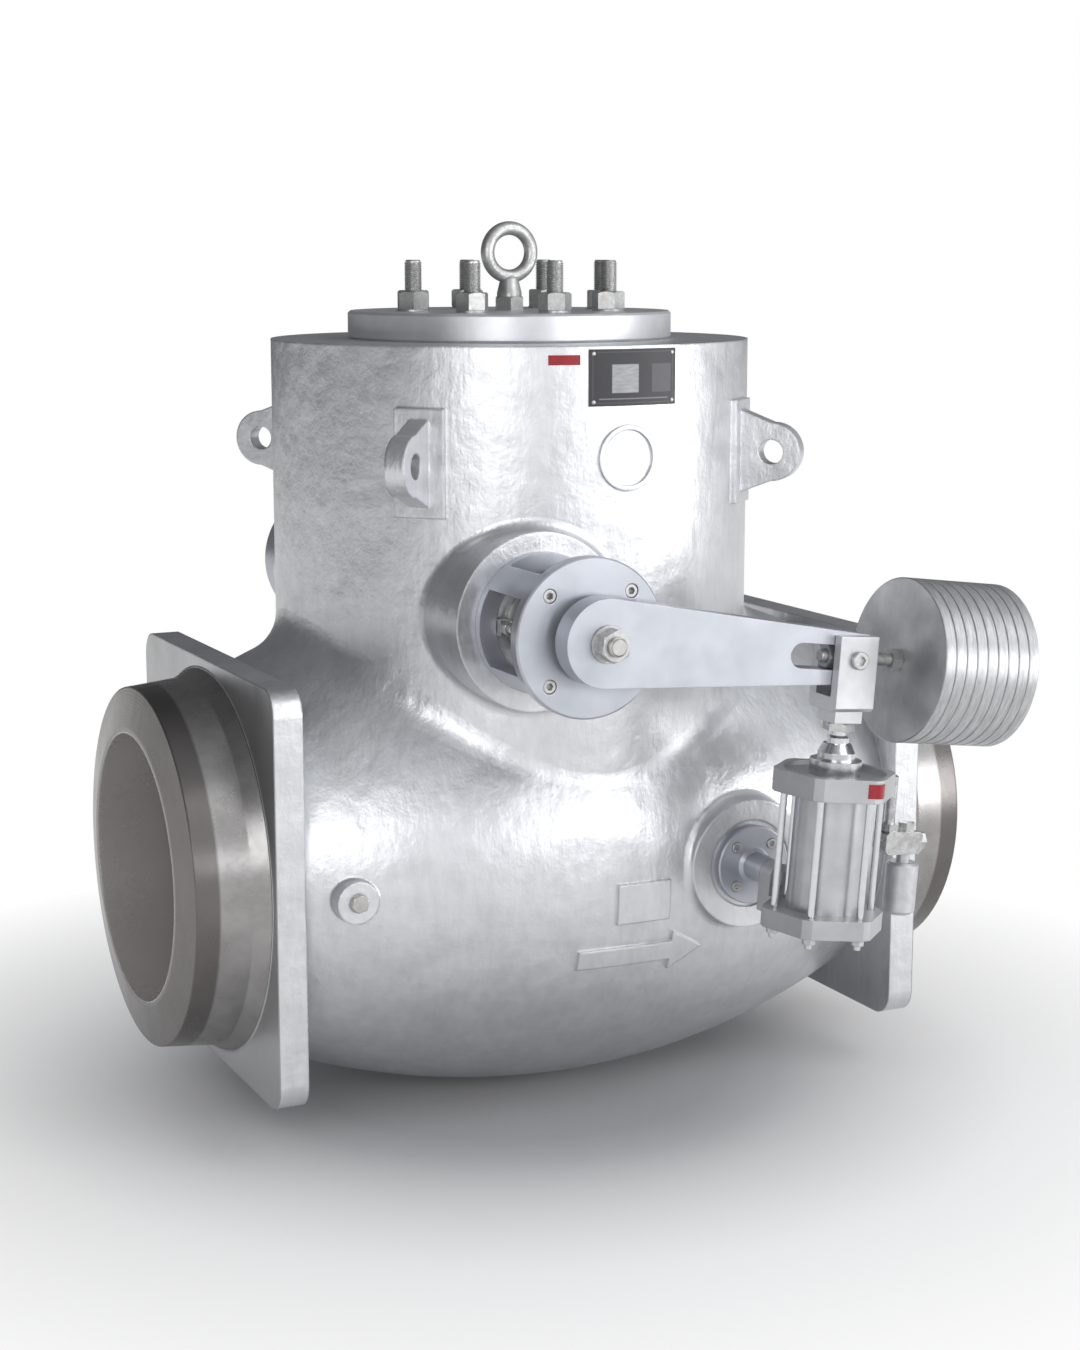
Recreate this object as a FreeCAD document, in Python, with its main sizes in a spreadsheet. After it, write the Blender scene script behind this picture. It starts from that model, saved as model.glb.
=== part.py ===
import FreeCAD, Part
import os
import re

import Sketcher

# Pressure seal swing check valve with butt-weld ends, outside lever, counterweight and air cylinder.
# Origin: centre of the inlet weld end. +X runs downstream, +Z up the neck, -Y towards the lever.

doc = FreeCAD.newDocument("pressure_seal_check_valve")
sheet = doc.addObject("Spreadsheet::Sheet", "Sizes")

SIZES = dict(
    # Pipe run and weld ends
    face_to_face=1500, bore_radius=231, weld_bore_length=150, bore_taper=24, throat_radius=224,
    weld_radius=309.5, land_radius=240, bevel_length=13, shoulder_x=106, shoulder_radius=319,
    root_radius=334,
    # Square end plates
    plate_gap=134, plate_thick=50, plate_side=704, plate_corner=45,
    # Barrel and its cavity
    barrel_radius=455, barrel_end_radius=330, barrel_wall=68, cavity_x=560,
    # Neck and the stack that closes it
    neck_x=712, neck_radius=422, neck_lip=29, neck_blend=75, seal_bore_radius=262, chamber_radius=302,
    chamber_bottom=330, groove_radius=290, segment_thick=36, segment_inner=232, segment_gap=6,
    plug_bottom=655, plug_gap=15, plug_rim=93, plug_sink=15, spacer_thick=38, plug_neck_radius=214,
    plug_dish=38, seal_thick=38, closure_play=0.3, retainer_radius=286, retainer_thick=48,
    retainer_edge=4, stud_circle=184, stud_radius=15, stud_rise=88, stud_depth=70, stud_tip=3,
    stud_play=2, stud_count=8, nut_flats=50, nut_thick=30, washer_radius=28, washer_thick=4,
    # Eye bolt
    eye_radius=42, eye_wire=12, eye_rise=101, eye_collar=22, eye_thread_radius=14, eye_depth=30,
    eye_nut_flats=46, eye_nut_thick=24,
    # Hinge shaft, its bosses, bushings and packing
    shaft_x=562, shaft_z=448, shaft_radius=40, boss_radius=148, boss_rise=18, boss_blend=18,
    bush_radius=52, bush_play=0.05, bush_inner_y=262, bush_length=80, box_radius=61, shaft_blind_y=428,
    pack_count=5, pack_thick=13,
    # Seat, disc and hinge arm
    seat_x=520, seat_angle=8, seat_bore=214, seat_radius=261, seat_thick=44, seat_lip=6, seat_play=0.3,
    disc_radius=245, disc_thick=50, disc_boss_radius=62, disc_boss_rise=15, disc_stud_radius=34,
    disc_stud_length=84, disc_washer_radius=60, disc_washer_thick=10, disc_nut_flats=95,
    disc_nut_thick=22, lock_pin_radius=4, lock_pin_length=100, pocket_radius=272, pocket_depth=135,
    arm_slot_half=96, arm_slot_x=480, arm_slot_depth=120, hub_radius=66, hub_width=50, arm_thick=44,
    arm_near_half=76, arm_far_half=52, ring_radius=86, dog_width=56, dog_radius=62, dog_tooth=30,
    dog_reach=100, dog_play=0.5, key_width=16, key_height=12, key_length=48,
    # Gland, yoke and end plate of the shaft
    gland_stud_grip=30, screw_bite=30, cover_bolt_bite=30, bracket_bite=24, plug_depth=24,
    follower_flange=16, follower_gap=14, follower_lobe=13, gland_stud_x=72, gland_stud_radius=7,
    gland_stud_length=70, gland_nut_flats=22, gland_nut_thick=13, yoke_radius=116, yoke_inner=86,
    yoke_base=16, yoke_window=62, end_plate_radius=128, end_plate_thick=22, end_plate_edge=3,
    screw_circle=100, screw_radius=7, screw_head=11, screw_head_rise=11, screw_play=0.5, screw_count=4,
    # Blind side cover of the shaft
    cover_radius=135, cover_thick=82, cover_spigot=12, gasket_thick=3, cover_screw_circle=106,
    cover_bolt_radius=10, cover_bolt_flats=30, cover_bolt_head=13, cover_bolt_grip=112,
    cover_bolt_count=8,
    # Lever and weight
    lever_stand_off=204, lever_gap=16, lever_thick=42, lever_drop=7.1, lever_hub=70, lever_end=478,
    lever_end_half=40.5, lever_corner=5, slot_start=330, slot_end=424, slot_half=20.5, drive_square=44,
    drive_depth=32, drive_play=0.1, end_thread_radius=15, end_thread_length=48, end_nut_flats=46,
    end_nut_thick=24, end_washer_radius=30, end_washer_thick=5, rod_radius=12, rod_play=0.4,
    rod_nut_flats=36, rod_nut_thick=19, rod_start=396, rod_over=30, weight_start=548, weight_radius=136,
    weight_thick=20, weight_count=9, weight_gap=0.5, weight_edge=1.5,
    # Clevis, rod and air cylinder
    pin_reach=446, clevis_gap=1.5, ear_thick=18, ear_half=36, ear_rise=38, ear_fall=85, stem_half=26,
    stem_fall=106, crotch_fall=62, ear_corner=6, shoulder_radius_pin=8, shoulder_play=3,
    pin_thread_radius=6, pin_thread_depth=8, pin_head_radius=15, pin_head_thick=8, pin_socket_flats=14,
    pin_head_play=0.5, cap_corner=10, tie_bite=24, jam_nut_flats=46, jam_nut_thick=14,
    piston_rod_radius=18, rod_thread_radius=14, rod_engage=34, pivot_x=950, pivot_z=8, swivel_offset=24,
    cap_radius=106, hex_turn=44, cap_thick=38, bottom_drop=62, bottom_cap_thick=32, top_cap_rise=164,
    tube_radius=60, tube_bore=52, tube_seat=6, piston_thick=34, piston_rest=8, piston_play=0.1,
    rod_run_play=0.1, recess_radius=84, recess_depth=8, gland_radius=43, gland_rise=26,
    gland_step_radius=31, gland_step_rise=12, gland_cone_rise=14, gland_cone_radius=23, gland_grip=20,
    gland_grip_radius=34, tie_circle=82, tie_radius=6, tie_count=6, tie_nut_flats=19, tie_nut_thick=11,
    tie_over=8, tie_play=0.5,
    # Swivel bracket on the side boss
    side_boss_radius=112, side_boss_rise=7, side_boss_blend=14, side_recess_radius=76,
    side_recess_depth=6, bracket_radius=68, bracket_thick=18, bracket_neck_radius=24,
    bracket_journal=14, bracket_screw_circle=48, bracket_screw_radius=6, bracket_screw_head=9,
    bracket_screw_head_rise=8, bracket_screw_count=4, eye_block_half=23, eye_block_near=94,
    eye_block_far=128, journal_play=0.05, clip_radius=17.5, clip_thick=2,
    # Air fittings
    elbow_start=88, elbow_reach=116, elbow_radius=9, elbow_flats=30, elbow_collar=12, valve_near=100,
    valve_far=172, valve_low=60, valve_top=98, valve_half=20, valve_corner=6, valve_plug_flats=27,
    valve_plug_thick=13, can_reach=150, can_radius=27, can_length=88, can_neck=16, can_neck_radius=11,
    # Small bosses, lugs and raised marks of the casting
    plug_boss_x=263, plug_boss_radius=36, plug_boss_rise=7, plug_boss_blend=4, plug_flats=27,
    plug_rise=9, plug_radius=15, lug_z=700, lug_reach=62, lug_nose=50, lug_half=71, lug_thick=34,
    lug_hole=21, lug_pad_half_z=89, lug_pad_half=44, lug_pad_rise=8, lug_turn=45, lug_count=4,
    arrow_x=752, arrow_z=-133, arrow_length=236, arrow_half=17, arrow_head=62, arrow_head_half=36,
    mark_rise=7, mark_x=748, mark_z=-38, mark_half=49, mark_half_z=35, emblem_x=730, emblem_z=707,
    emblem_radius=54, emblem_width=8, emblem_rise=5, name_drop=51, name_width=164, name_height=92,
    name_thick=2, name_play=0.2, name_turn=-86,
)

# Places that follow from the sizes, spelled out wherever an expression names them.
FOLLOWS = dict(
    run_arc="(((face_to_face / 2 - plate_gap - plate_thick)^2 + (barrel_radius - barrel_end_radius)^2)"
            " / (2 * (barrel_radius - barrel_end_radius)))",
    plug_shoulder="(plug_bottom + plug_rim)",
    groove_bottom="(plug_shoulder + seal_thick + spacer_thick)",
    neck_top="(groove_bottom + segment_thick + neck_lip)",
    plug_top="(neck_top - plug_sink)",
    chamber_top="(plug_bottom - plug_gap)",
    boss_y="(neck_radius + boss_rise)",
    side_boss_y="(barrel_radius + side_boss_rise)",
    plug_boss_y="(sqrt(run_arc^2 - (plug_boss_x + plug_boss_radius - face_to_face / 2)^2) - run_arc"
                " + barrel_radius + plug_boss_rise)",
    yoke_length="(barrel_radius + lever_stand_off - lever_thick / 2 - lever_gap - end_plate_thick - boss_y)",
    name_z="(neck_top - name_drop)",
)

for row, (alias, size) in enumerate(SIZES.items(), start=1):
    sheet.set(f"A{row}", alias)
    sheet.set(f"B{row}", str(size))
    sheet.setAlias(f"B{row}", alias)
doc.recompute()

WORDS = re.compile(r"\b(" + "|".join(SIZES) + r")\b")
PLACES = re.compile(r"\b(" + "|".join(FOLLOWS) + r")\b")
X_AXIS = FreeCAD.Vector(1, 0, 0)
Y_AXIS = FreeCAD.Vector(0, 1, 0)
Z_AXIS = FreeCAD.Vector(0, 0, 1)
HERE = ("0", "0", "0")
PIECES = []


def spelled(text):
    """An expression in sizes alone."""
    text = str(text)
    while PLACES.search(text):
        text = PLACES.sub(lambda word: FOLLOWS[word[0]], text)
    return text


def bound(text):
    """The same expression as other objects of the document read it."""
    return WORDS.sub(r"Sizes.\1", spelled(text))


def size(text):
    """What an expression on the sheet comes to now."""
    result = sheet.evalExpression(spelled(text))
    return float(getattr(result, "Value", result))


def piece(label, at=HERE, turn=(Z_AXIS, "0")):
    """One body of the valve, standing in its own frame; several solids in it are identical."""
    body = doc.addObject("PartDesign::Body", label)
    body.AllowCompound = True
    place(body, "Placement", at, turn)
    PIECES.append(body)
    return body


def place(item, name, at, turn):
    """Bind a placement to the sheet."""
    axis, angle = turn
    base = FreeCAD.Vector(*[size(text) for text in at])
    setattr(item, name, FreeCAD.Placement(base, FreeCAD.Rotation(axis, size(angle))))
    for letter, text in zip("xyz", at):
        item.setExpression(f"{name}.Base.{letter}", bound(text))
    if str(angle) != "0":
        item.setExpression(f"{name}.Rotation.Angle", bound(angle))


def origin_part(body, role):
    return next(item for item in body.Origin.OriginFeatures if item.Role == role)


def sketch_on(body, plane, shift=HERE, turn=(Z_AXIS, "0")):
    """A sketch on one of the body's own planes: XY looks up, XZ looks to -Y, YZ looks to +X."""
    sketch = body.newObject("Sketcher::SketchObject", f"{body.Name}_profile")
    sketch.AttachmentSupport = [(origin_part(body, f"{plane}_Plane"), "")]
    sketch.MapMode = "FlatFace"
    place(sketch, "AttachmentOffset", shift, turn)
    return sketch


def pin_point(sketch, geometry, end, across, up):
    """Fix a point of the sketch by two expressions."""
    for kind, text, axis in (("DistanceX", across, -2), ("DistanceY", up, -1)):
        if str(text) == "0":
            sketch.addConstraint(Sketcher.Constraint("PointOnObject", geometry, end, axis))
            continue
        number = sketch.addConstraint(Sketcher.Constraint(kind, -1, 1, geometry, end, size(text)))
        sketch.setExpression(f"Constraints[{number}]", bound(text))


def outline(sketch, corners, curves=None):
    """A closed outline; curves gives a side's number its radius, and True if it turns left."""
    curves = curves or {}
    points = [FreeCAD.Vector(size(across), size(up), 0) for across, up in corners]
    ends = []
    for side, start in enumerate(points):
        stop = points[(side + 1) % len(points)]
        if side in curves:
            ends.append(curved_side(sketch, start, stop, *curves[side]))
        else:
            ends.append((sketch.addGeometry(Part.LineSegment(start, stop)), 1, 2))
    for side, (geometry, first, _) in enumerate(ends):
        before, _, last = ends[side - 1]
        sketch.addConstraint(Sketcher.Constraint("Coincident", before, last, geometry, first))
        pin_point(sketch, geometry, first, *corners[side])


def curved_side(sketch, start, stop, radius, left):
    reach = size(radius)
    chord = stop - start
    normal = FreeCAD.Vector(-chord.y, chord.x, 0).normalize()
    depth = max(reach ** 2 - (chord.Length / 2) ** 2, 0) ** 0.5
    centre = start + chord / 2 + normal * (depth if left else -depth)
    first, last = (start, stop) if left else (stop, start)
    angles = [X_AXIS.getAngle(point - centre) for point in (first, last)]
    angles = [angle if point.y >= centre.y else -angle for angle, point in zip(angles, (first, last))]
    circle = Part.Circle(centre, Z_AXIS, reach)
    geometry = sketch.addGeometry(Part.ArcOfCircle(circle, *angles))
    number = sketch.addConstraint(Sketcher.Constraint("Radius", geometry, reach))
    sketch.setExpression(f"Constraints[{number}]", bound(radius))
    return (geometry, 1, 2) if left else (geometry, 2, 1)


def circle(sketch, radius, across="0", up="0"):
    centre = FreeCAD.Vector(size(across), size(up), 0)
    geometry = sketch.addGeometry(Part.Circle(centre, Z_AXIS, size(radius)))
    pin_point(sketch, geometry, 3, across, up)
    number = sketch.addConstraint(Sketcher.Constraint("Radius", geometry, size(radius)))
    sketch.setExpression(f"Constraints[{number}]", bound(radius))


def hexagon(sketch, flats, across="0", up="0", first=0):
    corner = f"({flats}) / 2 / cos(30)"
    turns = [first + 60 * step for step in range(6)]
    outline(sketch, [(f"{across} + {corner} * cos({t})", f"{up} + {corner} * sin({t})") for t in turns])


def rectangle(sketch, left, right, low, high):
    outline(sketch, [(left, low), (right, low), (right, high), (left, high)])


def feature(body, kind, sketch, reverse=False):
    item = body.newObject(f"PartDesign::{kind}", f"{body.Name}_{kind.lower()}")
    item.Profile = sketch
    item.Reversed = reverse
    return item


def pad(body, sketch, length, back=False):
    """Add material along the way the sketch looks, or behind it."""
    item = feature(body, "Pad", sketch, back)
    item.setExpression("Length", bound(length))
    return item


def pocket(body, sketch, length, back=False):
    """Cut along the way the sketch looks, or behind it."""
    item = feature(body, "Pocket", sketch, not back)
    item.setExpression("Length", bound(length))
    return item


def revolve(body, sketch, axis="V_Axis", cut=False):
    item = feature(body, "Groove" if cut else "Revolution", sketch)
    item.ReferenceAxis = (sketch, [axis])
    item.Angle = 360
    return item


def around(body, features, count):
    """Repeat features evenly about the body's own Z axis."""
    item = body.newObject("PartDesign::PolarPattern", f"{body.Name}_pattern")
    item.Originals = features
    item.Axis = (origin_part(body, "Z_Axis"), [""])
    item.Angle = 360
    item.setExpression("Occurrences", bound(count))
    item.Occurrences = int(size(count))
    body.Tip = item
    return item


def turned(body, corners, curves=None, at=("0", "0"), cut=False):
    """A turned form about an upright axis at (x, y); corners are (radius, height)."""
    sketch = sketch_on(body, "XZ", (at[0], "0", f"-({at[1]})" if at[1] != "0" else "0"))
    outline(sketch, corners, curves)
    return revolve(body, sketch, cut=cut)


def on_circle(radius, turn):
    """Where a turn on a circle lies, as two expressions."""
    return f"{radius} * cos({turn})", f"{radius} * sin({turn})"


def evenly(count, first="0"):
    """The turns of evenly spread places."""
    return [f"{first} + {step} * 360 / {count}" for step in range(int(size(count)))]


def bored(body, plane, start, radius, places, depth, back=False):
    """Round holes through or into a body from one of its planes."""
    sketch = sketch_on(body, plane, start)
    for across, up in places:
        circle(sketch, radius, across, up)
    return pocket(body, sketch, depth, back)


def tube(body, inner, outer, low, high, edge="0.8"):
    """A plain ring or bush with broken edges."""
    return turned(body, [
        (inner, low), (f"{outer} - {edge}", low), (outer, f"{low} + {edge}"),
        (outer, f"{high} - {edge}"), (f"{outer} - {edge}", high), (inner, high)])


def rods(label, at, turn, place_xy, count, radius, length, tip="stud_tip"):
    """Plain rods with tapered tips, spread about the body's axis."""
    body = piece(label, at, turn)
    rod = turned(body, [
        ("0", "0"), (f"{radius} - {tip}", "0"), (radius, tip), (radius, f"{length} - {tip}"),
        (f"{radius} - {tip}", length), ("0", length)], at=place_xy)
    around(body, [rod], count)
    return body


def hex_block(body, flats, thick, bore=None, at=("0", "0"), first=0, low="0"):
    """A hexagon with turned corners on its outer side, bored if a bore is given."""
    plan = sketch_on(body, "XY", ("0", "0", low))
    hexagon(plan, flats, *at, first=first)
    if bore:
        circle(plan, bore, *at)
    block = pad(body, plan, thick)
    rise = f"{flats} * 0.09"
    corner = turned(body, [
        (f"{flats} / 2", f"{low} + {thick}"), (f"{flats} * 0.62", f"{low} + {thick}"),
        (f"{flats} * 0.62", f"{low} + {thick} - {rise}")], at=at, cut=True)
    return [block, corner]


def nuts(label, at, turn, place_xy, count, flats, thick, bore, first=0):
    """Hexagon nuts spread about the body's axis."""
    body = piece(label, at, turn)
    features = hex_block(body, flats, thick, bore, place_xy, first)
    if count != "1":
        around(body, features, count)
    return body


def socket_screws(label, at, turn, place_xy, count, radius, grip, head, head_rise):
    """Socket head screws about the body's axis, heads up."""
    body = piece(label, at, turn)
    lathe = turned(body, [
        ("0", f"-({grip})"), (f"{radius} - 1", f"-({grip})"), (radius, f"1 - ({grip})"), (radius, "0"),
        (head, "0"), (head, f"{head_rise} - 1"), (f"{head} - 1", head_rise), ("0", head_rise)], at=place_xy)
    socket = sketch_on(body, "XY", ("0", "0", head_rise))
    hexagon(socket, f"{head} * 0.95", *place_xy)
    recess = pocket(body, socket, f"{head_rise} * 0.6", back=True)
    around(body, [lathe, recess], count)
    return body


def run_height(along, wall):
    """Height of the barrel's long arc, less a wall, at a place along the run."""
    return f"(sqrt((run_arc - ({wall}))^2 - ({along} - face_to_face / 2)^2) - run_arc + barrel_radius)"


def on_neck(place):
    """Whether a point lies where the neck leaves the barrel."""
    reach = ((place.x - size("neck_x")) ** 2 + place.y ** 2) ** 0.5
    return abs(reach - size("neck_radius")) < 0.5 and 1 < place.z < size("barrel_radius + 1")


def rounded_square(sketch, side, corner):
    half = f"{side} / 2"
    flat = f"({side} / 2 - {corner})"
    outline(sketch, [
        (f"-{flat}", f"-{half}"), (flat, f"-{half}"), (half, f"-{flat}"), (half, flat),
        (flat, half), (f"-{flat}", half), (f"-{half}", flat), (f"-{half}", f"-{flat}"),
    ], {1: (corner, True), 3: (corner, True), 5: (corner, True), 7: (corner, True)})


def body_casting():
    """Weld ends, barrel, neck, plates, bosses, lugs and raised marks, cast as one."""
    body = piece("body_casting")
    outer = sketch_on(body, "XZ")
    far = "face_to_face"
    start = "plate_gap + plate_thick"
    near_side = [
        ("0", "land_radius"), ("bevel_length", "weld_radius"), ("shoulder_x", "shoulder_radius"),
        ("plate_gap", "root_radius"), (start, "barrel_end_radius")]
    far_side = [(f"{far} - ({along})", up) for along, up in reversed(near_side)]
    outline(outer, [("0", "0")] + near_side + far_side + [(far, "0")], {5: ("run_arc", False)})
    revolve(body, outer, "H_Axis")
    raised_marks(body)
    neck = sketch_on(body, "XY")
    circle(neck, "neck_radius", "neck_x")
    neck = pad(body, neck, "neck_top")
    doc.recompute()
    blend(body, neck, "neck_blend", on_neck)
    raised_emblem(body)
    for place_x in ("plate_gap", f"{far} - plate_gap - plate_thick"):
        plate = sketch_on(body, "YZ", ("0", "0", place_x))
        rounded_square(plate, "plate_side", "plate_corner")
        pad(body, plate, "plate_thick")
    for across, up, radius, depth, back, soft in (
            ("shaft_x", "shaft_z", "boss_radius", "boss_y", False, "boss_blend"),
            ("shaft_x", "shaft_z", "boss_radius", "boss_y", True, "boss_blend"),
            ("pivot_x", "pivot_z", "side_boss_radius", "side_boss_y", False, "side_boss_blend"),
            ("plug_boss_x", "0", "plug_boss_radius", "plug_boss_y", False, "plug_boss_blend")):
        boss = sketch_on(body, "XZ")
        circle(boss, radius, across, up)
        boss = pad(body, boss, depth, back)
        doc.recompute()
        side = 1 if back else -1
        face = side * size(depth)
        blend(body, boss, soft, lambda place: on_boss(place, across, up, radius) and side * place.y > 0
              and abs(place.y - face) > 1)
    casting_lugs(body)
    casting_cavity(body)
    casting_bores(body)
    return body


def on_boss(place, across, up, radius):
    """Whether a point lies on the side of a round boss."""
    reach = ((place.x - size(across)) ** 2 + (place.z - size(up)) ** 2) ** 0.5
    return abs(reach - size(radius)) < 0.5


def blend(body, base, radius, chosen):
    """Round the edges of a feature that a test of their points chooses."""
    names = []
    for number, edge in enumerate(base.Shape.Edges, start=1):
        faces = base.Shape.ancestorsOfType(edge, Part.Face)
        if len(faces) == 2 and all(chosen(place) for place in edge.discretize(7)):
            names.append(f"Edge{number}")
    item = body.newObject("PartDesign::Fillet", f"{body.Name}_blend")
    item.Base = (base, names)
    item.setExpression("Radius", bound(radius))


def casting_lugs(body):
    """Four lifting lugs between the run and the shaft, each on a rectangular pad."""
    for step in range(SIZES["lug_count"]):
        angle = f"lug_turn + {step} * 360 / lug_count"
        base = sketch_on(body, "XY", ("neck_x", "0", "lug_z - lug_pad_half_z"), (Z_AXIS, angle))
        rectangle(base, "neck_radius - 40", "neck_radius + lug_pad_rise", "-lug_pad_half", "lug_pad_half")
        pad(body, base, "2 * lug_pad_half_z")
        reach = "neck_radius + lug_reach"
        for back in (False, True):
            ear = body.newObject("Sketcher::SketchObject", "lug_profile")
            ear.AttachmentSupport = [(origin_part(body, "XZ_Plane"), "")]
            ear.MapMode = "FlatFace"
            place(ear, "AttachmentOffset", ("neck_x", "0", "0"), (Y_AXIS, angle))
            outline(ear, [
                ("neck_radius - 40", "lug_z - lug_half"), ("neck_radius + lug_pad_rise", "lug_z - lug_half"),
                (reach, "lug_z - lug_nose"), (f"{reach} + lug_nose", "lug_z"), (reach, "lug_z + lug_nose"),
                ("neck_radius + lug_pad_rise", "lug_z + lug_half"), ("neck_radius - 40", "lug_z + lug_half"),
            ], {2: ("lug_nose", True), 3: ("lug_nose", True)})
            circle(ear, "lug_hole", reach, "lug_z")
            pad(body, ear, "lug_thick / 2", back)


def raised_marks(body):
    """Flow arrow and blank pad on the lever side of the barrel, trimmed to follow its curve."""
    arrow = sketch_on(body, "XZ", ("arrow_x", "arrow_z", "barrel_radius / 2"))
    tail = "-arrow_length / 2"
    neck = "arrow_length / 2 - arrow_head"
    outline(arrow, [
        (tail, "-arrow_half"), (neck, "-arrow_half"), (neck, "-arrow_head_half"), ("arrow_length / 2", "0"),
        (neck, "arrow_head_half"), (neck, "arrow_half"), (tail, "arrow_half")])
    pad(body, arrow, "barrel_radius")
    mark = sketch_on(body, "XZ", ("mark_x", "mark_z", "barrel_radius / 2"))
    rectangle(mark, "-mark_half", "mark_half", "-mark_half_z", "mark_half_z")
    pad(body, mark, "barrel_radius")
    trim = sketch_on(body, "XZ")
    near = "plate_gap"
    far = "face_to_face - plate_gap"
    outline(trim, [
        (near, run_height(near, "-mark_rise")), (far, run_height(f"({far})", "-mark_rise")),
        (far, "2 * barrel_radius"), (near, "2 * barrel_radius")], {0: ("run_arc + mark_rise", False)})
    revolve(body, trim, "H_Axis", cut=True)


def raised_emblem(body):
    """Blank ring on the lever side of the neck, trimmed to follow its curve."""
    emblem = sketch_on(body, "XZ", ("emblem_x", "emblem_z", "neck_radius / 2"))
    circle(emblem, "emblem_radius")
    circle(emblem, "emblem_radius - emblem_width")
    pad(body, emblem, "neck_radius")
    low = "(emblem_z - emblem_radius - emblem_width)"
    high = "(emblem_z + emblem_radius + emblem_width)"
    turned(body, [
        ("neck_radius + emblem_rise", low), ("2 * neck_radius", low), ("2 * neck_radius", high),
        ("neck_radius + emblem_rise", high)], at=("neck_x", "0"), cut=True)


def casting_cavity(body):
    """Bore, seat counterbore, swing chamber and the way out to the outlet."""
    bore = sketch_on(body, "YZ")
    circle(bore, "throat_radius")
    pocket(body, bore, "face_to_face")
    weld_bore = sketch_on(body, "XZ")
    outline(weld_bore, [
        ("0", "0"), ("0", "bore_radius"), ("weld_bore_length", "bore_radius"),
        ("weld_bore_length + bore_taper", "throat_radius"), ("weld_bore_length + bore_taper", "0")])
    revolve(body, weld_bore, "H_Axis", cut=True)
    out_bore = sketch_on(body, "YZ", ("0", "0", "face_to_face"))
    circle(out_bore, "bore_radius")
    pocket(body, out_bore, "weld_bore_length", back=True)
    out_end = "face_to_face - weld_bore_length"
    out_x = f"{out_end} - 40"
    room = sketch_on(body, "XZ")
    outline(room, [
        ("cavity_x", "0"), ("cavity_x", run_height("cavity_x", "barrel_wall")),
        (out_x, run_height(f"({out_x})", "barrel_wall")), (out_end, "bore_radius"),
        (out_end, "0")], {1: ("run_arc - barrel_wall", False)})
    revolve(body, room, "H_Axis", cut=True)
    for radius, depth, back in (("seat_radius", "seat_thick", True), ("pocket_radius", "pocket_depth", False)):
        seat = sketch_on(body, "XY", ("seat_x", "0", "0"), (Y_AXIS, "90 - seat_angle"))
        circle(seat, radius)
        pocket(body, seat, depth, back)
    chamber = sketch_on(body, "XY", ("neck_x", "0", "chamber_bottom"))
    circle(chamber, "chamber_radius")
    pocket(body, chamber, "chamber_top - chamber_bottom")
    slot = sketch_on(body, "XY", ("0", "0", "chamber_bottom - arm_slot_depth"))
    rectangle(slot, "arm_slot_x", "cavity_x + 60", "-arm_slot_half", "arm_slot_half")
    pocket(body, slot, "arm_slot_depth + 20")
    turned(body, [
        ("0", "chamber_top - 5"), ("seal_bore_radius", "chamber_top - 5"), ("seal_bore_radius", "groove_bottom"),
        ("groove_radius", "groove_bottom"), ("groove_radius", "groove_bottom + segment_thick"),
        ("seal_bore_radius", "groove_bottom + segment_thick"), ("seal_bore_radius", "neck_top"),
        ("0", "neck_top")], at=("neck_x", "0"), cut=True)


def casting_bores(body):
    """Shaft bores with their stuffing box, tapped holes and spot faces."""
    inner = "(bush_inner_y + bush_length)"
    for radius, first, depth, back in (
            ("bush_radius", "0", "boss_y", False), ("bush_radius", "0", "boss_y", True),
            ("box_radius", inner, f"boss_y - {inner}", False)):
        hole = sketch_on(body, "XZ", ("shaft_x", "shaft_z", first))
        circle(hole, radius)
        pocket(body, hole, depth, back)
    bored(body, "XZ", ("shaft_x", "shaft_z", "boss_y - gland_stud_grip"), "gland_stud_radius",
          [("gland_stud_x", "0"), ("-gland_stud_x", "0")], "gland_stud_grip")
    bored(body, "XZ", ("shaft_x", "shaft_z", "boss_y - screw_bite"), "screw_radius",
          [on_circle("screw_circle", turn) for turn in evenly("screw_count", "45")], "screw_bite")
    bored(body, "XZ", ("shaft_x", "shaft_z", "cover_bolt_bite - boss_y"), "cover_bolt_radius",
          [on_circle("cover_screw_circle", turn) for turn in evenly("cover_bolt_count", "22.5")],
          "cover_bolt_bite", back=True)
    recess = "side_boss_y - side_recess_depth"
    bored(body, "XZ", ("pivot_x", "pivot_z", recess), "side_recess_radius", [("0", "0")],
          "side_recess_depth")
    bored(body, "XZ", ("pivot_x", "pivot_z", f"{recess} - bracket_bite"), "bracket_screw_radius",
          [on_circle("bracket_screw_circle", turn) for turn in evenly("bracket_screw_count", "45")],
          "bracket_bite")
    bored(body, "XZ", ("plug_boss_x", "0", "plug_boss_y - plug_depth"), "plug_radius", [("0", "0")],
          "plug_depth")




# Seat, disc and hinge arm stand in the frame of the inclined seat, at the shaft's axis:
# their X looks downstream along the seat's axis and their -Z runs down the hinge arm.
SEAT_BACK = "((shaft_x - seat_x) * cos(seat_angle) + shaft_z * sin(seat_angle))"
ARM_LENGTH = "(shaft_z * cos(seat_angle) - (shaft_x - seat_x) * sin(seat_angle))"
SHAFT_POINT = ("shaft_x", "0", "shaft_z")
SEAT_TURN = (Y_AXIS, "-seat_angle")
DISC_BACK = "(seat_play + disc_thick)"
RING_FRONT = f"({DISC_BACK} + disc_boss_rise + seat_play)"


def seat_frame(label):
    """A body turned about the seat's axis: local Z looks downstream from the seat's face."""
    return piece(label, ("seat_x", "0", "0"), (Y_AXIS, "90 - seat_angle"))


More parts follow.
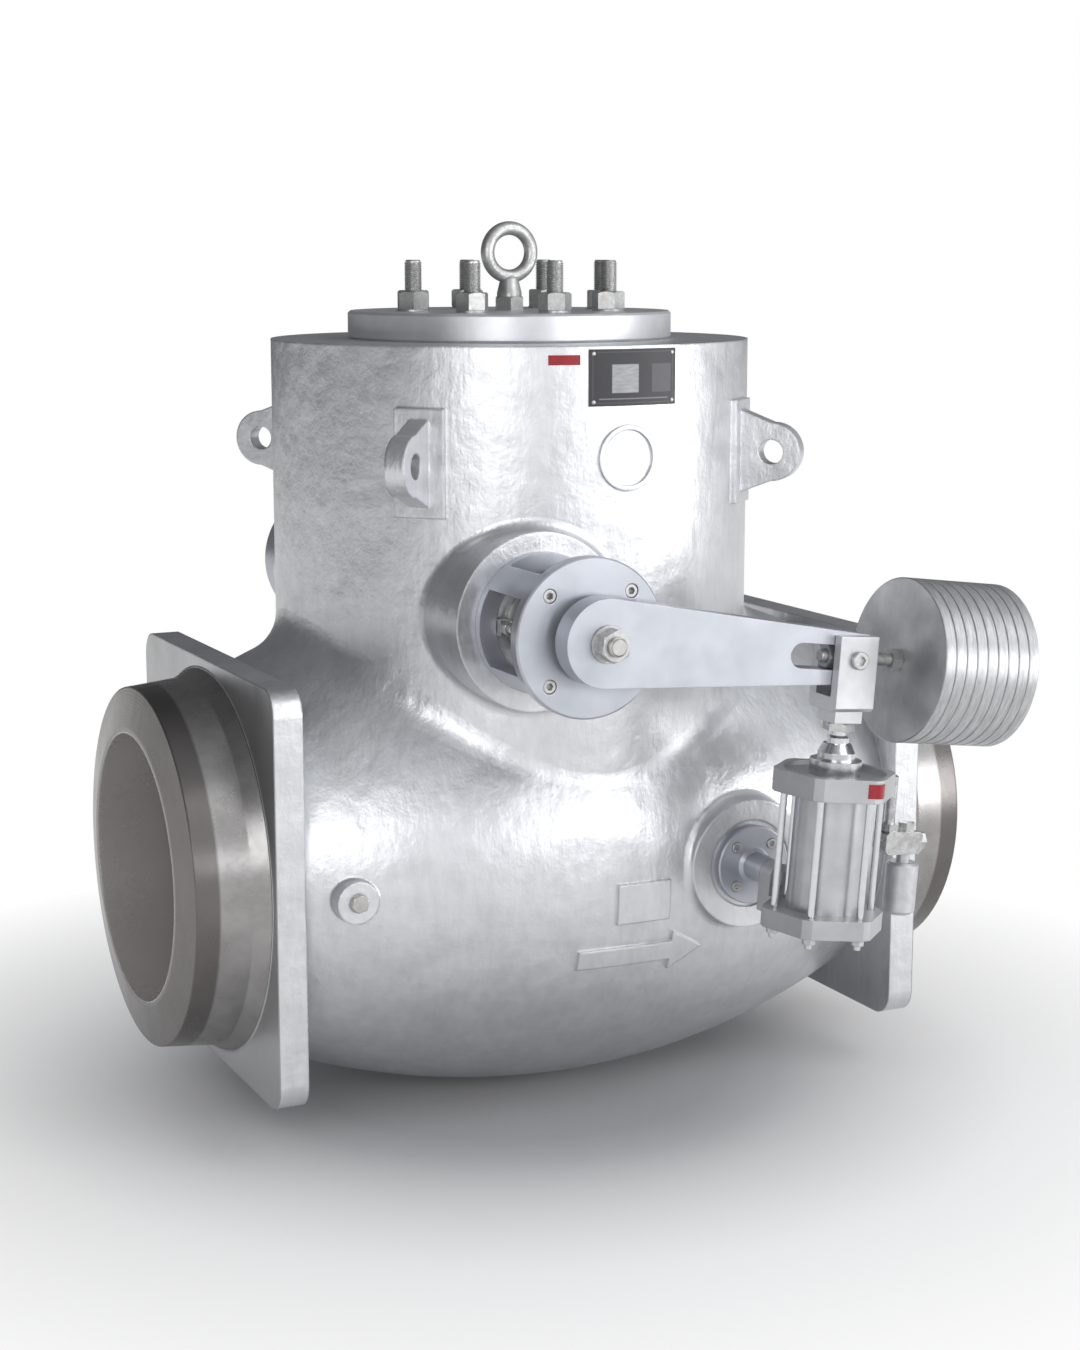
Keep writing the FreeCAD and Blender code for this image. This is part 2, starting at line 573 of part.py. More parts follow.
def seat_and_disc():
    seat = seat_frame("seat_ring")
    turned(seat, [
        ("seat_bore", "-seat_thick"), ("seat_radius", "-seat_thick"), ("seat_radius", "-seat_lip"),
        ("seat_radius - seat_lip", "0"), ("seat_bore + seat_lip", "0"), ("seat_bore", "-seat_lip")])
    disc = seat_frame("disc")
    low = "seat_play"
    turned(disc, [
        ("0", f"{low} - 4"), ("seat_bore - 24", f"{low} - 4"), ("seat_bore - 16", low),
        ("disc_radius - 3", low), ("disc_radius", f"{low} + 3"), ("disc_radius", f"{low} + 24"),
        ("disc_radius - 46", DISC_BACK), ("disc_boss_radius", DISC_BACK),
        ("disc_boss_radius", f"{DISC_BACK} + disc_boss_rise"),
        ("disc_stud_radius", f"{DISC_BACK} + disc_boss_rise"),
        ("disc_stud_radius", f"{DISC_BACK} + disc_boss_rise + disc_stud_length - 4"),
        ("disc_stud_radius - 4", f"{DISC_BACK} + disc_boss_rise + disc_stud_length"),
        ("0", f"{DISC_BACK} + disc_boss_rise + disc_stud_length")])
    washer_low = f"({RING_FRONT} + arm_thick + seat_play)"
    washer = seat_frame("disc_washer")
    tube(washer, "disc_stud_radius + seat_play", "disc_washer_radius", washer_low,
         f"{washer_low} + disc_washer_thick")
    nut = seat_frame("disc_nut")
    hex_block(nut, "disc_nut_flats", "disc_nut_thick", "disc_stud_radius", first=30,
              low=f"{washer_low} + disc_washer_thick")
    hole_height = f"({washer_low} + disc_washer_thick + disc_nut_thick / 2)"
    for body in (nut, disc):
        hole = sketch_on(body, "YZ", ("0", hole_height, "-lock_pin_length"))
        circle(hole, "lock_pin_radius")
        pocket(body, hole, "2 * lock_pin_length")
    pin = seat_frame("disc_lock_pin")
    rod = sketch_on(pin, "YZ", ("0", hole_height, "-lock_pin_length / 2"))
    circle(rod, "lock_pin_radius")
    pad(pin, rod, "lock_pin_length")


def hinge_arm():
    """One forging: two hubs on the shaft, a flat web and the ring round the disc's stud."""
    arm = piece("hinge_arm", SHAFT_POINT, SEAT_TURN)
    front = f"({RING_FRONT} - {SEAT_BACK})"
    gap = "(dog_width / 2 + dog_play)"
    for back in (False, True):
        hub = sketch_on(arm, "XZ", ("0", "0", f"-{gap}" if back else gap))
        circle(hub, "hub_radius")
        pad(arm, hub, "hub_width", back)
    web = sketch_on(arm, "YZ", ("0", "0", front))
    low = f"-{ARM_LENGTH}"
    outline(web, [
        ("-arm_far_half", low), ("arm_far_half", low), ("arm_near_half", "-hub_radius - 8"),
        ("arm_near_half", "0"), (gap, "0"), (gap, "-dog_radius - 6"), (f"-{gap}", "-dog_radius - 6"),
        (f"-{gap}", "0"), ("-arm_near_half", "0"), ("-arm_near_half", "-hub_radius - 8")])
    pad(arm, web, "arm_thick")
    ring = sketch_on(arm, "YZ", ("0", low, front))
    circle(ring, "ring_radius")
    pad(arm, ring, "arm_thick")
    stud = sketch_on(arm, "YZ", ("0", low, front))
    circle(stud, "disc_stud_radius + seat_play")
    pocket(arm, stud, "arm_thick")
    bore = sketch_on(arm, "XZ", ("0", "0", "-arm_near_half * 2"))
    circle(bore, "shaft_radius + bush_play")
    pocket(arm, bore, "arm_near_half * 4")


def shaft_and_dog():
    """The shaft through both bosses, with the keyed dog that lifts the arm, and its bushings."""
    lever_back = "(boss_y + yoke_length + end_plate_thick + lever_gap)"
    drive = f"{lever_back} + drive_depth"
    shaft = piece("hinge_shaft", SHAFT_POINT, (X_AXIS, "90"))
    turned(shaft, [
        ("0", "-shaft_blind_y"), ("shaft_radius - 3", "-shaft_blind_y"), ("shaft_radius", "3 - shaft_blind_y"),
        ("shaft_radius", lever_back), ("end_thread_radius", lever_back),
        ("end_thread_radius", f"{drive} + end_thread_length - 3"),
        ("end_thread_radius - 3", f"{drive} + end_thread_length"), ("0", f"{drive} + end_thread_length")])
    square = sketch_on(shaft, "XY", ("0", "0", f"{lever_back} - 2"), (Z_AXIS, "-lever_drop"))
    rectangle(square, "-drive_square / 2", "drive_square / 2", "-drive_square / 2", "drive_square / 2")
    pad(shaft, square, "drive_depth + 2 - drive_play")
    key_seat = sketch_on(shaft, "XY", ("0", "0", "-key_length / 2"))
    rectangle(key_seat, "-key_width / 2", "key_width / 2", "shaft_radius - key_height / 2", "shaft_radius + 9")
    pocket(shaft, key_seat, "key_length")
    key = piece("dog_key", SHAFT_POINT, (X_AXIS, "90"))
    key_form = sketch_on(key, "XY", ("0", "0", "-key_length / 2"))
    rectangle(key_form, "-key_width / 2", "key_width / 2", "shaft_radius - key_height / 2",
              "shaft_radius + key_height / 2")
    pad(key, key_form, "key_length")
    dog = piece("shaft_dog", SHAFT_POINT, SEAT_TURN)
    ring = sketch_on(dog, "XZ", ("0", "0", "-dog_width / 2"))
    circle(ring, "dog_radius")
    pad(dog, ring, "dog_width")
    front = f"({RING_FRONT} - {SEAT_BACK})"
    tooth = sketch_on(dog, "XZ", ("0", "0", "-dog_width / 2"))
    rectangle(tooth, f"{front} - dog_play - dog_tooth", f"{front} - dog_play", "-dog_reach", "0")
    pad(dog, tooth, "dog_width")
    bore = sketch_on(dog, "XZ", ("0", "0", "-dog_width / 2"))
    circle(bore, "shaft_radius + 0.02")
    pocket(dog, bore, "dog_width")
    slot = sketch_on(dog, "XZ", ("0", "0", "-dog_width / 2"), (Z_AXIS, "0 - seat_angle"))
    rectangle(slot, "-key_width / 2", "key_width / 2", "0", "shaft_radius + key_height / 2")
    pocket(dog, slot, "dog_width")
    for label, side in (("lever_side_bushing", "1"), ("blind_side_bushing", "-1")):
        bush = piece(label, SHAFT_POINT, (X_AXIS, f"90 * {side}"))
        tube(bush, "shaft_radius + bush_play", "bush_radius", "bush_inner_y", "bush_inner_y + bush_length")


def gland():
    """Stuffing box rings, follower, its studs and nuts, in the yoke's windows."""
    low = "(bush_inner_y + bush_length)"
    packing = piece("packing_rings", SHAFT_POINT, (X_AXIS, "90"))
    for step in range(SIZES["pack_count"]):
        start = f"{low} + {step} * (pack_thick + 0.2)"
        tube(packing, "shaft_radius + bush_play", "box_radius", start, f"{start} + pack_thick", "1.5")
    top = f"({low} + pack_count * (pack_thick + 0.2))"
    follower = piece("gland_follower", SHAFT_POINT, (X_AXIS, "90"))
    flange = "(boss_y + follower_gap)"
    turned(follower, [
        ("shaft_radius + 0.6", top), ("box_radius - 0.3", top), ("box_radius - 0.3", flange),
        ("box_radius + 4", flange), ("box_radius + 4", f"{flange} + follower_flange"),
        ("shaft_radius + 0.6", f"{flange} + follower_flange")])
    lobes = sketch_on(follower, "XY", ("0", "0", flange))
    rectangle(lobes, "-gland_stud_x - follower_lobe", "gland_stud_x + follower_lobe",
              "-follower_lobe", "follower_lobe")
    pad(follower, lobes, "follower_flange")
    clear = sketch_on(follower, "XY", ("0", "0", top))
    circle(clear, "shaft_radius + 0.6")
    pocket(follower, clear, f"{flange} + follower_flange - {top}")
    bored(follower, "XY", ("0", "0", flange), "gland_stud_radius + 0.5",
          [("gland_stud_x", "0"), ("-gland_stud_x", "0")], "follower_flange")
    rods("gland_studs", ("shaft_x", "-boss_y + gland_stud_grip", "shaft_z"), (X_AXIS, "90"), ("gland_stud_x", "0"), "2",
         "gland_stud_radius", "gland_stud_length + gland_stud_grip - 20", "2")
    nuts("gland_nuts", ("shaft_x", f"-{flange} - follower_flange", "shaft_z"), (X_AXIS, "90"),
         ("gland_stud_x", "0"), "2", "gland_nut_flats", "gland_nut_thick", "gland_stud_radius", 30)


def yoke_and_plate():
    """Windowed yoke between the boss and the round end plate, held by four long screws."""
    turn = (X_AXIS, "90")
    yoke = piece("gland_yoke", ("shaft_x", "-boss_y", "shaft_z"), turn)
    tube(yoke, "yoke_inner", "yoke_radius", "0", "yoke_length", "1")
    for across, up in (("yoke_radius + 5", "yoke_window"), ("yoke_window", "yoke_radius + 5")):
        window = sketch_on(yoke, "XY", ("0", "0", "yoke_base"))
        rectangle(window, f"-({across})", across, f"-({up})", up)
        pocket(yoke, window, "yoke_length - 2 * yoke_base")
    plate = piece("shaft_end_plate", ("shaft_x", "-boss_y - yoke_length", "shaft_z"), turn)
    turned(plate, [
        ("shaft_radius + 0.5", "0"), ("end_plate_radius - 1", "0"), ("end_plate_radius", "1"),
        ("end_plate_radius", "end_plate_thick - end_plate_edge"),
        ("end_plate_radius - end_plate_edge", "end_plate_thick"), ("shaft_radius + 0.5", "end_plate_thick")])
    places = [on_circle("screw_circle", angle) for angle in evenly("screw_count", "45")]
    bored(yoke, "XY", HERE, "screw_radius + screw_play", places, "yoke_length")
    bored(plate, "XY", HERE, "screw_radius + screw_play", places, "end_plate_thick")
    bored(plate, "XY", ("0", "0", "end_plate_thick - screw_head_rise"), "screw_head + screw_play", places,
          "screw_head_rise")
    seat_y = "-boss_y - yoke_length - end_plate_thick + screw_head_rise"
    socket_screws("yoke_screws", ("shaft_x", seat_y, "shaft_z"), turn, on_circle("screw_circle", "45"),
                  "screw_count", "screw_radius", "yoke_length + end_plate_thick - screw_head_rise + screw_bite - 2",
                  "screw_head", "screw_head_rise - 1")


def blind_cover():
    """Bolted cover over the shaft's blind end, on the side away from the lever."""
    turn = (X_AXIS, "-90")
    gasket = piece("blind_cover_gasket", ("shaft_x", "boss_y", "shaft_z"), turn)
    tube(gasket, "bush_radius + 4", "cover_screw_circle - cover_bolt_radius - 6", "0", "gasket_thick", "0.5")
    cover = piece("blind_cover", ("shaft_x", "boss_y + gasket_thick", "shaft_z"), turn)
    turned(cover, [
        ("0", "0"), ("cover_radius - 2", "0"), ("cover_radius", "2"), ("cover_radius", "cover_thick - 4"),
        ("cover_radius - 4", "cover_thick"), ("bush_radius", "cover_thick"),
        ("bush_radius - 8", "cover_thick + cover_spigot"), ("0", "cover_thick + cover_spigot")])
    places = [on_circle("cover_screw_circle", angle) for angle in evenly("cover_bolt_count", "22.5")]
    bored(cover, "XY", HERE, "cover_bolt_radius + 1", places, "cover_thick + 1")
    bolts = piece("blind_cover_bolts", ("shaft_x", "boss_y + gasket_thick + cover_thick", "shaft_z"), turn)
    first = on_circle("cover_screw_circle", "22.5")
    shank = turned(bolts, [
        ("0", "-cover_bolt_grip"), ("cover_bolt_radius - 2", "-cover_bolt_grip"),
        ("cover_bolt_radius", "2 - cover_bolt_grip"), ("cover_bolt_radius", "0.5"), ("0", "0.5")], at=first)
    head = hex_block(bolts, "cover_bolt_flats", "cover_bolt_head", at=first)
    around(bolts, [shank] + head, "cover_bolt_count")




def closure():
    """Bonnet plug, seal, spacer and segments in the neck, pulled up by the studs of the retainer."""
    at = ("neck_x", "0", "0")
    play = "(seal_bore_radius - closure_play)"
    plug = piece("bonnet_plug", at)
    turned(plug, [
        ("0", "plug_bottom + plug_dish"), ("plug_neck_radius - 90", "plug_bottom + plug_dish"),
        ("plug_neck_radius - 30", "plug_bottom"), (f"{play} - 6", "plug_bottom"), (play, "plug_bottom + 6"),
        (play, "plug_shoulder - 18"), ("plug_neck_radius", "plug_shoulder"), ("plug_neck_radius", "plug_top - 3"),
        ("plug_neck_radius - 3", "plug_top"), ("0", "plug_top")])
    seal_top = "(plug_shoulder + seal_thick)"
    seal = piece("seal_ring", at)
    turned(seal, [
        ("plug_neck_radius + closure_play", "plug_shoulder + 0.3"), (play, "plug_shoulder - 17.4"),
        (play, seal_top), ("plug_neck_radius + closure_play", seal_top)])
    spacer = piece("spacer_ring", at)
    tube(spacer, "plug_neck_radius + closure_play", play, seal_top, "groove_bottom")
    segments = piece("segment_ring", at)
    plan = sketch_on(segments, "XY", ("0", "0", "groove_bottom + closure_play"))
    outer = "(groove_radius - 1)"
    half = "segment_gap / 2"
    inner_reach = f"sqrt(segment_inner ^ 2 - ({half}) ^ 2)"
    outer_reach = f"sqrt({outer} ^ 2 - ({half}) ^ 2)"
    outline(plan, [(inner_reach, half), (outer_reach, half), (half, outer_reach), (half, inner_reach)],
            {1: (outer, True), 3: ("segment_inner", False)})
    segment = pad(segments, plan, "segment_thick - 2 * closure_play")
    around(segments, [segment], "4")
    retainer = piece("bonnet_retainer", ("neck_x", "0", "neck_top"))
    turned(retainer, [
        ("0", "0"), ("retainer_radius - retainer_edge", "0"), ("retainer_radius", "retainer_edge"),
        ("retainer_radius", "retainer_thick - retainer_edge"),
        ("retainer_radius - retainer_edge", "retainer_thick"), ("0", "retainer_thick")])
    places = [on_circle("stud_circle", turn) for turn in evenly("stud_count")]
    bored(retainer, "XY", HERE, "stud_radius + stud_play", places, "retainer_thick")
    bored(retainer, "XY", HERE, "eye_thread_radius", [("0", "0")], "retainer_thick")
    bored(plug, "XY", ("0", "0", "plug_top - stud_depth"), "stud_radius", places, "stud_depth")
    first = on_circle("stud_circle", "0")
    top = "neck_top + retainer_thick"
    up = (Z_AXIS, "0")
    rods("bonnet_studs", ("neck_x", "0", "plug_top - stud_depth"), up, first, "stud_count", "stud_radius",
         f"{top} + stud_rise - plug_top + stud_depth")
    washers = piece("bonnet_washers", ("neck_x", "0", top))
    ring = turned(washers, [
        ("stud_radius + 0.5", "0"), ("washer_radius", "0"), ("washer_radius", "washer_thick - 0.6"),
        ("washer_radius - 0.6", "washer_thick"), ("stud_radius + 0.5", "washer_thick")], at=first)
    around(washers, [ring], "stud_count")
    nuts("bonnet_nuts", ("neck_x", "0", f"{top} + washer_thick"), up, first, "stud_count", "nut_flats",
         "nut_thick", "stud_radius", 10)
    nuts("eye_bolt_nut", ("neck_x", "0", top), up, ("0", "0"), "1", "eye_nut_flats", "eye_nut_thick",
         "eye_thread_radius", 12)
    eye_bolt(top)


def eye_bolt(top):
    """Forged lifting eye screwed into the retainer through its lock nut, ring across the run."""
    body = piece("eye_bolt", ("neck_x", "0", top), (Z_AXIS, "0"))
    wire = sketch_on(body, "YZ", ("0", "eye_rise", "0"))
    circle(wire, "eye_wire", "0", "eye_radius")
    revolve(body, wire, "H_Axis")
    turned(body, [
        ("0", "-eye_depth"), ("eye_thread_radius - 2", "-eye_depth"), ("eye_thread_radius", "2 - eye_depth"),
        ("eye_thread_radius", "eye_nut_thick"), ("eye_collar", "eye_nut_thick"),
        ("eye_collar", "eye_nut_thick + 6"), ("eye_wire + 4", "eye_rise - eye_radius - 4"),
        ("eye_wire", "eye_rise - eye_radius + 2"), ("0", "eye_rise - eye_radius + 2")])




LEVER_BACK = "(boss_y + yoke_length + end_plate_thick + lever_gap)"
LEVER_MID = f"({LEVER_BACK} + lever_thick / 2)"
ALONG_LEVER = (Y_AXIS, "lever_drop + 90")


def lever():
    """Tapered lever on the shaft's square, slotted near its end for the weight rod's nut."""
    arm = piece("lever_arm", ("shaft_x", f"-{LEVER_BACK}", "shaft_z"), (Y_AXIS, "lever_drop"))
    plan = sketch_on(arm, "XZ")
    reach = "sqrt(lever_end ^ 2 + lever_end_half ^ 2)"
    taper = f"(asin(lever_hub / {reach}) - atan(lever_end_half / lever_end))"
    hub_x = f"lever_hub * sin{taper}"
    hub_z = f"lever_hub * cos{taper}"
    outline(plan, [
        ("lever_end - lever_corner", "-lever_end_half"), ("lever_end", "lever_corner - lever_end_half"),
        ("lever_end", "lever_end_half - lever_corner"), ("lever_end - lever_corner", "lever_end_half"),
        (hub_x, hub_z), ("-lever_hub", "0"), (hub_x, f"-{hub_z}")],
        {0: ("lever_corner", True), 2: ("lever_corner", True), 4: ("lever_hub", True), 5: ("lever_hub", True)})
    pad(arm, plan, "lever_thick")
    slot = sketch_on(arm, "XZ")
    outline(slot, [
        ("slot_start + slot_half", "-slot_half"), ("slot_end", "-slot_half"), ("slot_end", "slot_half"),
        ("slot_start + slot_half", "slot_half"), ("slot_start", "0")],
        {3: ("slot_half", True), 4: ("slot_half", True)})
    pocket(arm, slot, "lever_thick")
    half = "(drive_square / 2 + drive_play)"
    square = sketch_on(arm, "XZ")
    rectangle(square, f"-{half}", half, f"-{half}", half)
    pocket(arm, square, "drive_depth + drive_play")
    bored(arm, "XZ", HERE, "end_thread_radius + drive_play", [("0", "0")], "lever_thick")
    bored(arm, "YZ", ("0", "0", "slot_end"), "rod_radius", [("-lever_thick / 2", "0")], "lever_end - slot_end")
    bored(arm, "XZ", HERE, "pin_thread_radius", [("pin_reach", "0")], "pin_thread_depth")
    bored(arm, "XZ", ("0", "0", "lever_thick - pin_thread_depth"), "pin_thread_radius", [("pin_reach", "0")],
          "pin_thread_depth")
    washer = piece("shaft_end_washer", ("shaft_x", f"-{LEVER_BACK} - lever_thick", "shaft_z"), (X_AXIS, "90"))
    tube(washer, "end_thread_radius + 0.5", "end_washer_radius", "0", "end_washer_thick")
    nuts("shaft_end_nut", ("shaft_x", f"-{LEVER_BACK} - lever_thick - end_washer_thick", "shaft_z"),
         (X_AXIS, "90"), ("0", "0"), "1", "end_nut_flats", "end_nut_thick", "end_thread_radius", 22)


def weights():
    """Threaded rod out of the lever's end with its nuts and a stack of round weights."""
    at = ("shaft_x", f"-{LEVER_MID}", "shaft_z")
    weight_end = "(weight_start + weight_count * (weight_thick + weight_gap) - weight_gap)"
    rod = piece("weight_rod", at, ALONG_LEVER)
    stop = f"{weight_end} + rod_nut_thick + rod_over"
    turned(rod, [
        ("0", "rod_start"), ("rod_radius - 2", "rod_start"), ("rod_radius", "rod_start + 2"),
        ("rod_radius", f"{stop} - 2"), ("rod_radius - 2", stop), ("0", stop)])
    pair = piece("weight_rod_nuts", at, ALONG_LEVER)
    for low, first in (("slot_end - rod_nut_thick", 30), ("lever_end", 12), ("weight_start - rod_nut_thick", 24),
                       (weight_end, 8)):
        hex_block(pair, "rod_nut_flats", "rod_nut_thick", "rod_radius", first=first, low=low)
    stack = piece("counterweight_plates", at, ALONG_LEVER)
    for number in range(int(size("weight_count"))):
        low = f"weight_start + {number} * (weight_thick + weight_gap)"
        tube(stack, "rod_radius + rod_play", "weight_radius", low, f"{low} + weight_thick", "weight_edge")




PIN_X = "(shaft_x + pin_reach * cos(lever_drop))"
PIN_Z = "(shaft_z - pin_reach * sin(lever_drop))"
PIVOT_TO_PIN = f"sqrt(({PIN_X} - pivot_x) ^ 2 + ({PIN_Z} - pivot_z) ^ 2)"
LEAN = f"(atan(({PIN_X} - pivot_x) / ({PIN_Z} - pivot_z)) - asin(swivel_offset / {PIVOT_TO_PIN}))"
PIN_RISE = f"sqrt({PIVOT_TO_PIN} ^ 2 - swivel_offset ^ 2)"
UPRIGHT = (Y_AXIS, LEAN)
AXIS_X = f"pivot_x + swivel_offset * cos{LEAN}"
AXIS_Z = f"pivot_z - swivel_offset * sin{LEAN}"


def along_cylinder(label, rise="0"):
    """A body on the cylinder's axis, a rise above the level of its swivel."""
    return piece(label, (f"{AXIS_X} + ({rise}) * sin{LEAN}", f"-{LEVER_MID}", f"{AXIS_Z} + ({rise}) * cos{LEAN}"),
                 UPRIGHT)


def clevis():
    """Fork over the lever's end, its rod with jam nut, and the two shoulder screws it swings on."""
    fork = along_cylinder("clevis", PIN_RISE)
    inner = "(lever_thick / 2 + clevis_gap)"
    outer = f"({inner} + ear_thick)"
    front = sketch_on(fork, "YZ", ("0", "0", "-ear_half"))
    outline(front, [
        ("-stem_half", "-stem_fall"), ("stem_half", "-stem_fall"), ("stem_half", "-ear_fall"),
        (f"{outer} - ear_corner", "-ear_fall"), (outer, "ear_corner - ear_fall"), (outer, "ear_rise"),
        (inner, "ear_rise"), (inner, "-crotch_fall"), (f"-{inner}", "-crotch_fall"), (f"-{inner}", "ear_rise"),
        (f"-{outer}", "ear_rise"), (f"-{outer}", "ear_corner - ear_fall"), (f"ear_corner - {outer}", "-ear_fall"),
        ("-stem_half", "-ear_fall")])
    pad(fork, front, "2 * ear_half")
    for sign in ("", "-"):
        flank = sketch_on(fork, "XZ", ("0", "0", f"-{outer} - 1"))
        rectangle(flank, *sorted((f"{sign}stem_half", f"{sign}(ear_half + 1)"), key=size),
                  "-stem_fall - 1", "-ear_fall")
        pocket(fork, flank, f"2 * {outer} + 2")
    bored(fork, "XZ", ("0", "0", f"-{outer}"), "shoulder_radius_pin + shoulder_play", [("0", "0")],
          f"2 * {outer}")
    bored(fork, "XY", ("0", "0", "-stem_fall"), "rod_thread_radius", [("0", "0")], "rod_engage")
    screws = piece("clevis_screws", (PIN_X, f"-{LEVER_MID}", PIN_Z), (Y_AXIS, "lever_drop"))
    seat = f"({outer} + pin_head_play)"
    face = f"({seat} + pin_head_thick)"
    shape = sketch_on(screws, "YZ")
    outline(shape, [
        ("pin_thread_depth - lever_thick / 2 - 0.5", "0"), (f"-{face}", "0"),
        (f"-{face}", "pin_head_radius - 1.5"), (f"1.5 - {face}", "pin_head_radius"),
        (f"-{seat}", "pin_head_radius"), (f"-{seat}", "shoulder_radius_pin"),
        ("-lever_thick / 2", "shoulder_radius_pin"), ("-lever_thick / 2", "pin_thread_radius"),
        ("pin_thread_depth - lever_thick / 2 - 0.5", "pin_thread_radius")])
    screw = revolve(screws, shape, "H_Axis")
    socket = sketch_on(screws, "XZ", ("0", "0", face))
    hexagon(socket, "pin_socket_flats", first=12)
    recess = pocket(screws, socket, "pin_head_thick * 0.6", back=True)
    around(screws, [screw, recess], "2")
    rise = f"{PIN_RISE} - stem_fall"
    jam = along_cylinder("clevis_jam_nut", f"{rise} - jam_nut_thick")
    hex_block(jam, "jam_nut_flats", "jam_nut_thick", "rod_thread_radius", first=20)
    rod = along_cylinder("piston_rod")
    seat = f"({rise} - jam_nut_thick - 8)"
    piston_low = "(bottom_cap_thick - bottom_drop + piston_rest)"
    turned(rod, [
        ("0", f"{piston_low} + 2"), ("rod_thread_radius", f"{piston_low} + 2"),
        ("rod_thread_radius", f"{piston_low} + piston_thick"), ("piston_rod_radius", f"{piston_low} + piston_thick"),
        ("piston_rod_radius", f"{seat} - 4"), ("rod_thread_radius", seat),
        ("rod_thread_radius", f"{rise} + rod_engage - 3"), ("rod_thread_radius - 2", f"{rise} + rod_engage - 1"),
        ("0", f"{rise} + rod_engage - 1")])
    piston = along_cylinder("piston", piston_low)
    tube(piston, "rod_thread_radius", "tube_bore - piston_play", "0", "piston_thick", "2")


def cap_plan(body, low):
    plan = sketch_on(body, "XY", ("0", "0", low))
    turns = [f"hex_turn + {step} * 60" for step in range(6)]
    edge = "cap_corner"
    corners = []
    for turn in turns:
        for lean in ("-", "+"):
            corners.append((f"cap_radius * cos({turn}) + {edge} * cos({turn} {lean} 120)",
                            f"cap_radius * sin({turn}) + {edge} * sin({turn} {lean} 120)"))
    outline(plan, corners)
    return plan


def cylinder():
    """Air cylinder: tube held between two hexagonal caps by six tie rods, swivelling at its foot."""
    bottom_low = "-bottom_drop"
    bottom_top = "(bottom_cap_thick - bottom_drop)"
    top_high = "(top_cap_rise + cap_thick)"
    sleeve = along_cylinder("cylinder_tube")
    turned(sleeve, [
        ("tube_bore", f"{bottom_top} - tube_seat"), ("tube_radius", f"{bottom_top} - tube_seat"),
        ("tube_radius", "top_cap_rise + tube_seat"), ("tube_bore", "top_cap_rise + tube_seat")])
    places = [on_circle("tie_circle", f"hex_turn + {step} * 60") for step in range(6)]
    top = along_cylinder("cylinder_top_cap")
    pad(top, cap_plan(top, "top_cap_rise"), "cap_thick")
    bored(top, "XY", ("0", "0", "top_cap_rise"), "tube_radius + 0.05", [("0", "0")], "tube_seat")
    bored(top, "XY", ("0", "0", f"{top_high} - recess_depth"), "recess_radius", [("0", "0")], "recess_depth")
    bored(top, "XY", ("0", "0", "top_cap_rise"), "gland_grip_radius", [("0", "0")], "cap_thick")
    bored(top, "XY", ("0", "0", "top_cap_rise"), "tie_radius", places, "tie_bite")
    bored(top, "YZ", ("0", "top_cap_rise + cap_thick / 2", "elbow_start"), "elbow_radius", [("0", "0")],
          "elbow_reach - elbow_start")
    bottom = along_cylinder("cylinder_bottom_cap")
    pad(bottom, cap_plan(bottom, bottom_low), "bottom_cap_thick")
    bored(bottom, "XY", ("0", "0", f"{bottom_top} - tube_seat"), "tube_radius + 0.05", [("0", "0")], "tube_seat")
    eye = sketch_on(bottom, "XZ", ("-swivel_offset", "0", "-eye_block_far"))
    outline(eye, [
        ("-eye_block_half", "-bottom_drop"), ("eye_block_half", "-bottom_drop"), ("eye_block_half", "0"),
        ("0", "eye_block_half"), ("-eye_block_half", "0")],
        {2: ("eye_block_half", True), 3: ("eye_block_half", True)})
    pad(bottom, eye, "eye_block_far - eye_block_near")
    tongue = sketch_on(bottom, "XZ", ("-swivel_offset", "0", "-eye_block_near"))
    rectangle(tongue, "-eye_block_half", "eye_block_half", "-bottom_drop", bottom_top)
    pad(bottom, tongue, "eye_block_near - 70")
    bored(bottom, "XZ", ("-swivel_offset", "0", "-eye_block_far"), "bracket_journal + journal_play", [("0", "0")],
          "eye_block_far - eye_block_near")
    bored(bottom, "XY", ("0", "0", bottom_low), "tie_radius + tie_play", places, "bottom_cap_thick")
    gland = along_cylinder("cylinder_rod_gland", f"{top_high} - recess_depth")
    turned(gland, [
        ("piston_rod_radius + rod_run_play", "-gland_grip"), ("gland_grip_radius", "-gland_grip"),
        ("gland_grip_radius", "0"), ("gland_radius", "0"), ("gland_radius", "gland_rise - 1"),
        ("gland_radius - 1", "gland_rise"), ("gland_step_radius", "gland_rise"),
        ("gland_step_radius", "gland_rise + gland_step_rise"),
        ("gland_cone_radius", "gland_rise + gland_step_rise + gland_cone_rise"),
        ("piston_rod_radius + rod_run_play", "gland_rise + gland_step_rise + gland_cone_rise")])
    reach = "top_cap_rise + tie_bite + bottom_drop + tie_nut_thick + tie_over"
    ties = along_cylinder("tie_rods", "-bottom_drop - tie_nut_thick - tie_over")
    first = on_circle("tie_circle", "hex_turn")
    rod = turned(ties, [
        ("0", "0"), ("tie_radius - 1", "0"), ("tie_radius", "1"), ("tie_radius", f"{reach} - 1"),
        ("0", f"{reach} - 1")], at=first)
    around(ties, [rod], "tie_count")
    heads = along_cylinder("tie_rod_nuts", "-bottom_drop - tie_nut_thick")
    around(heads, hex_block(heads, "tie_nut_flats", "tie_nut_thick", "tie_radius", first, 14), "tie_count")


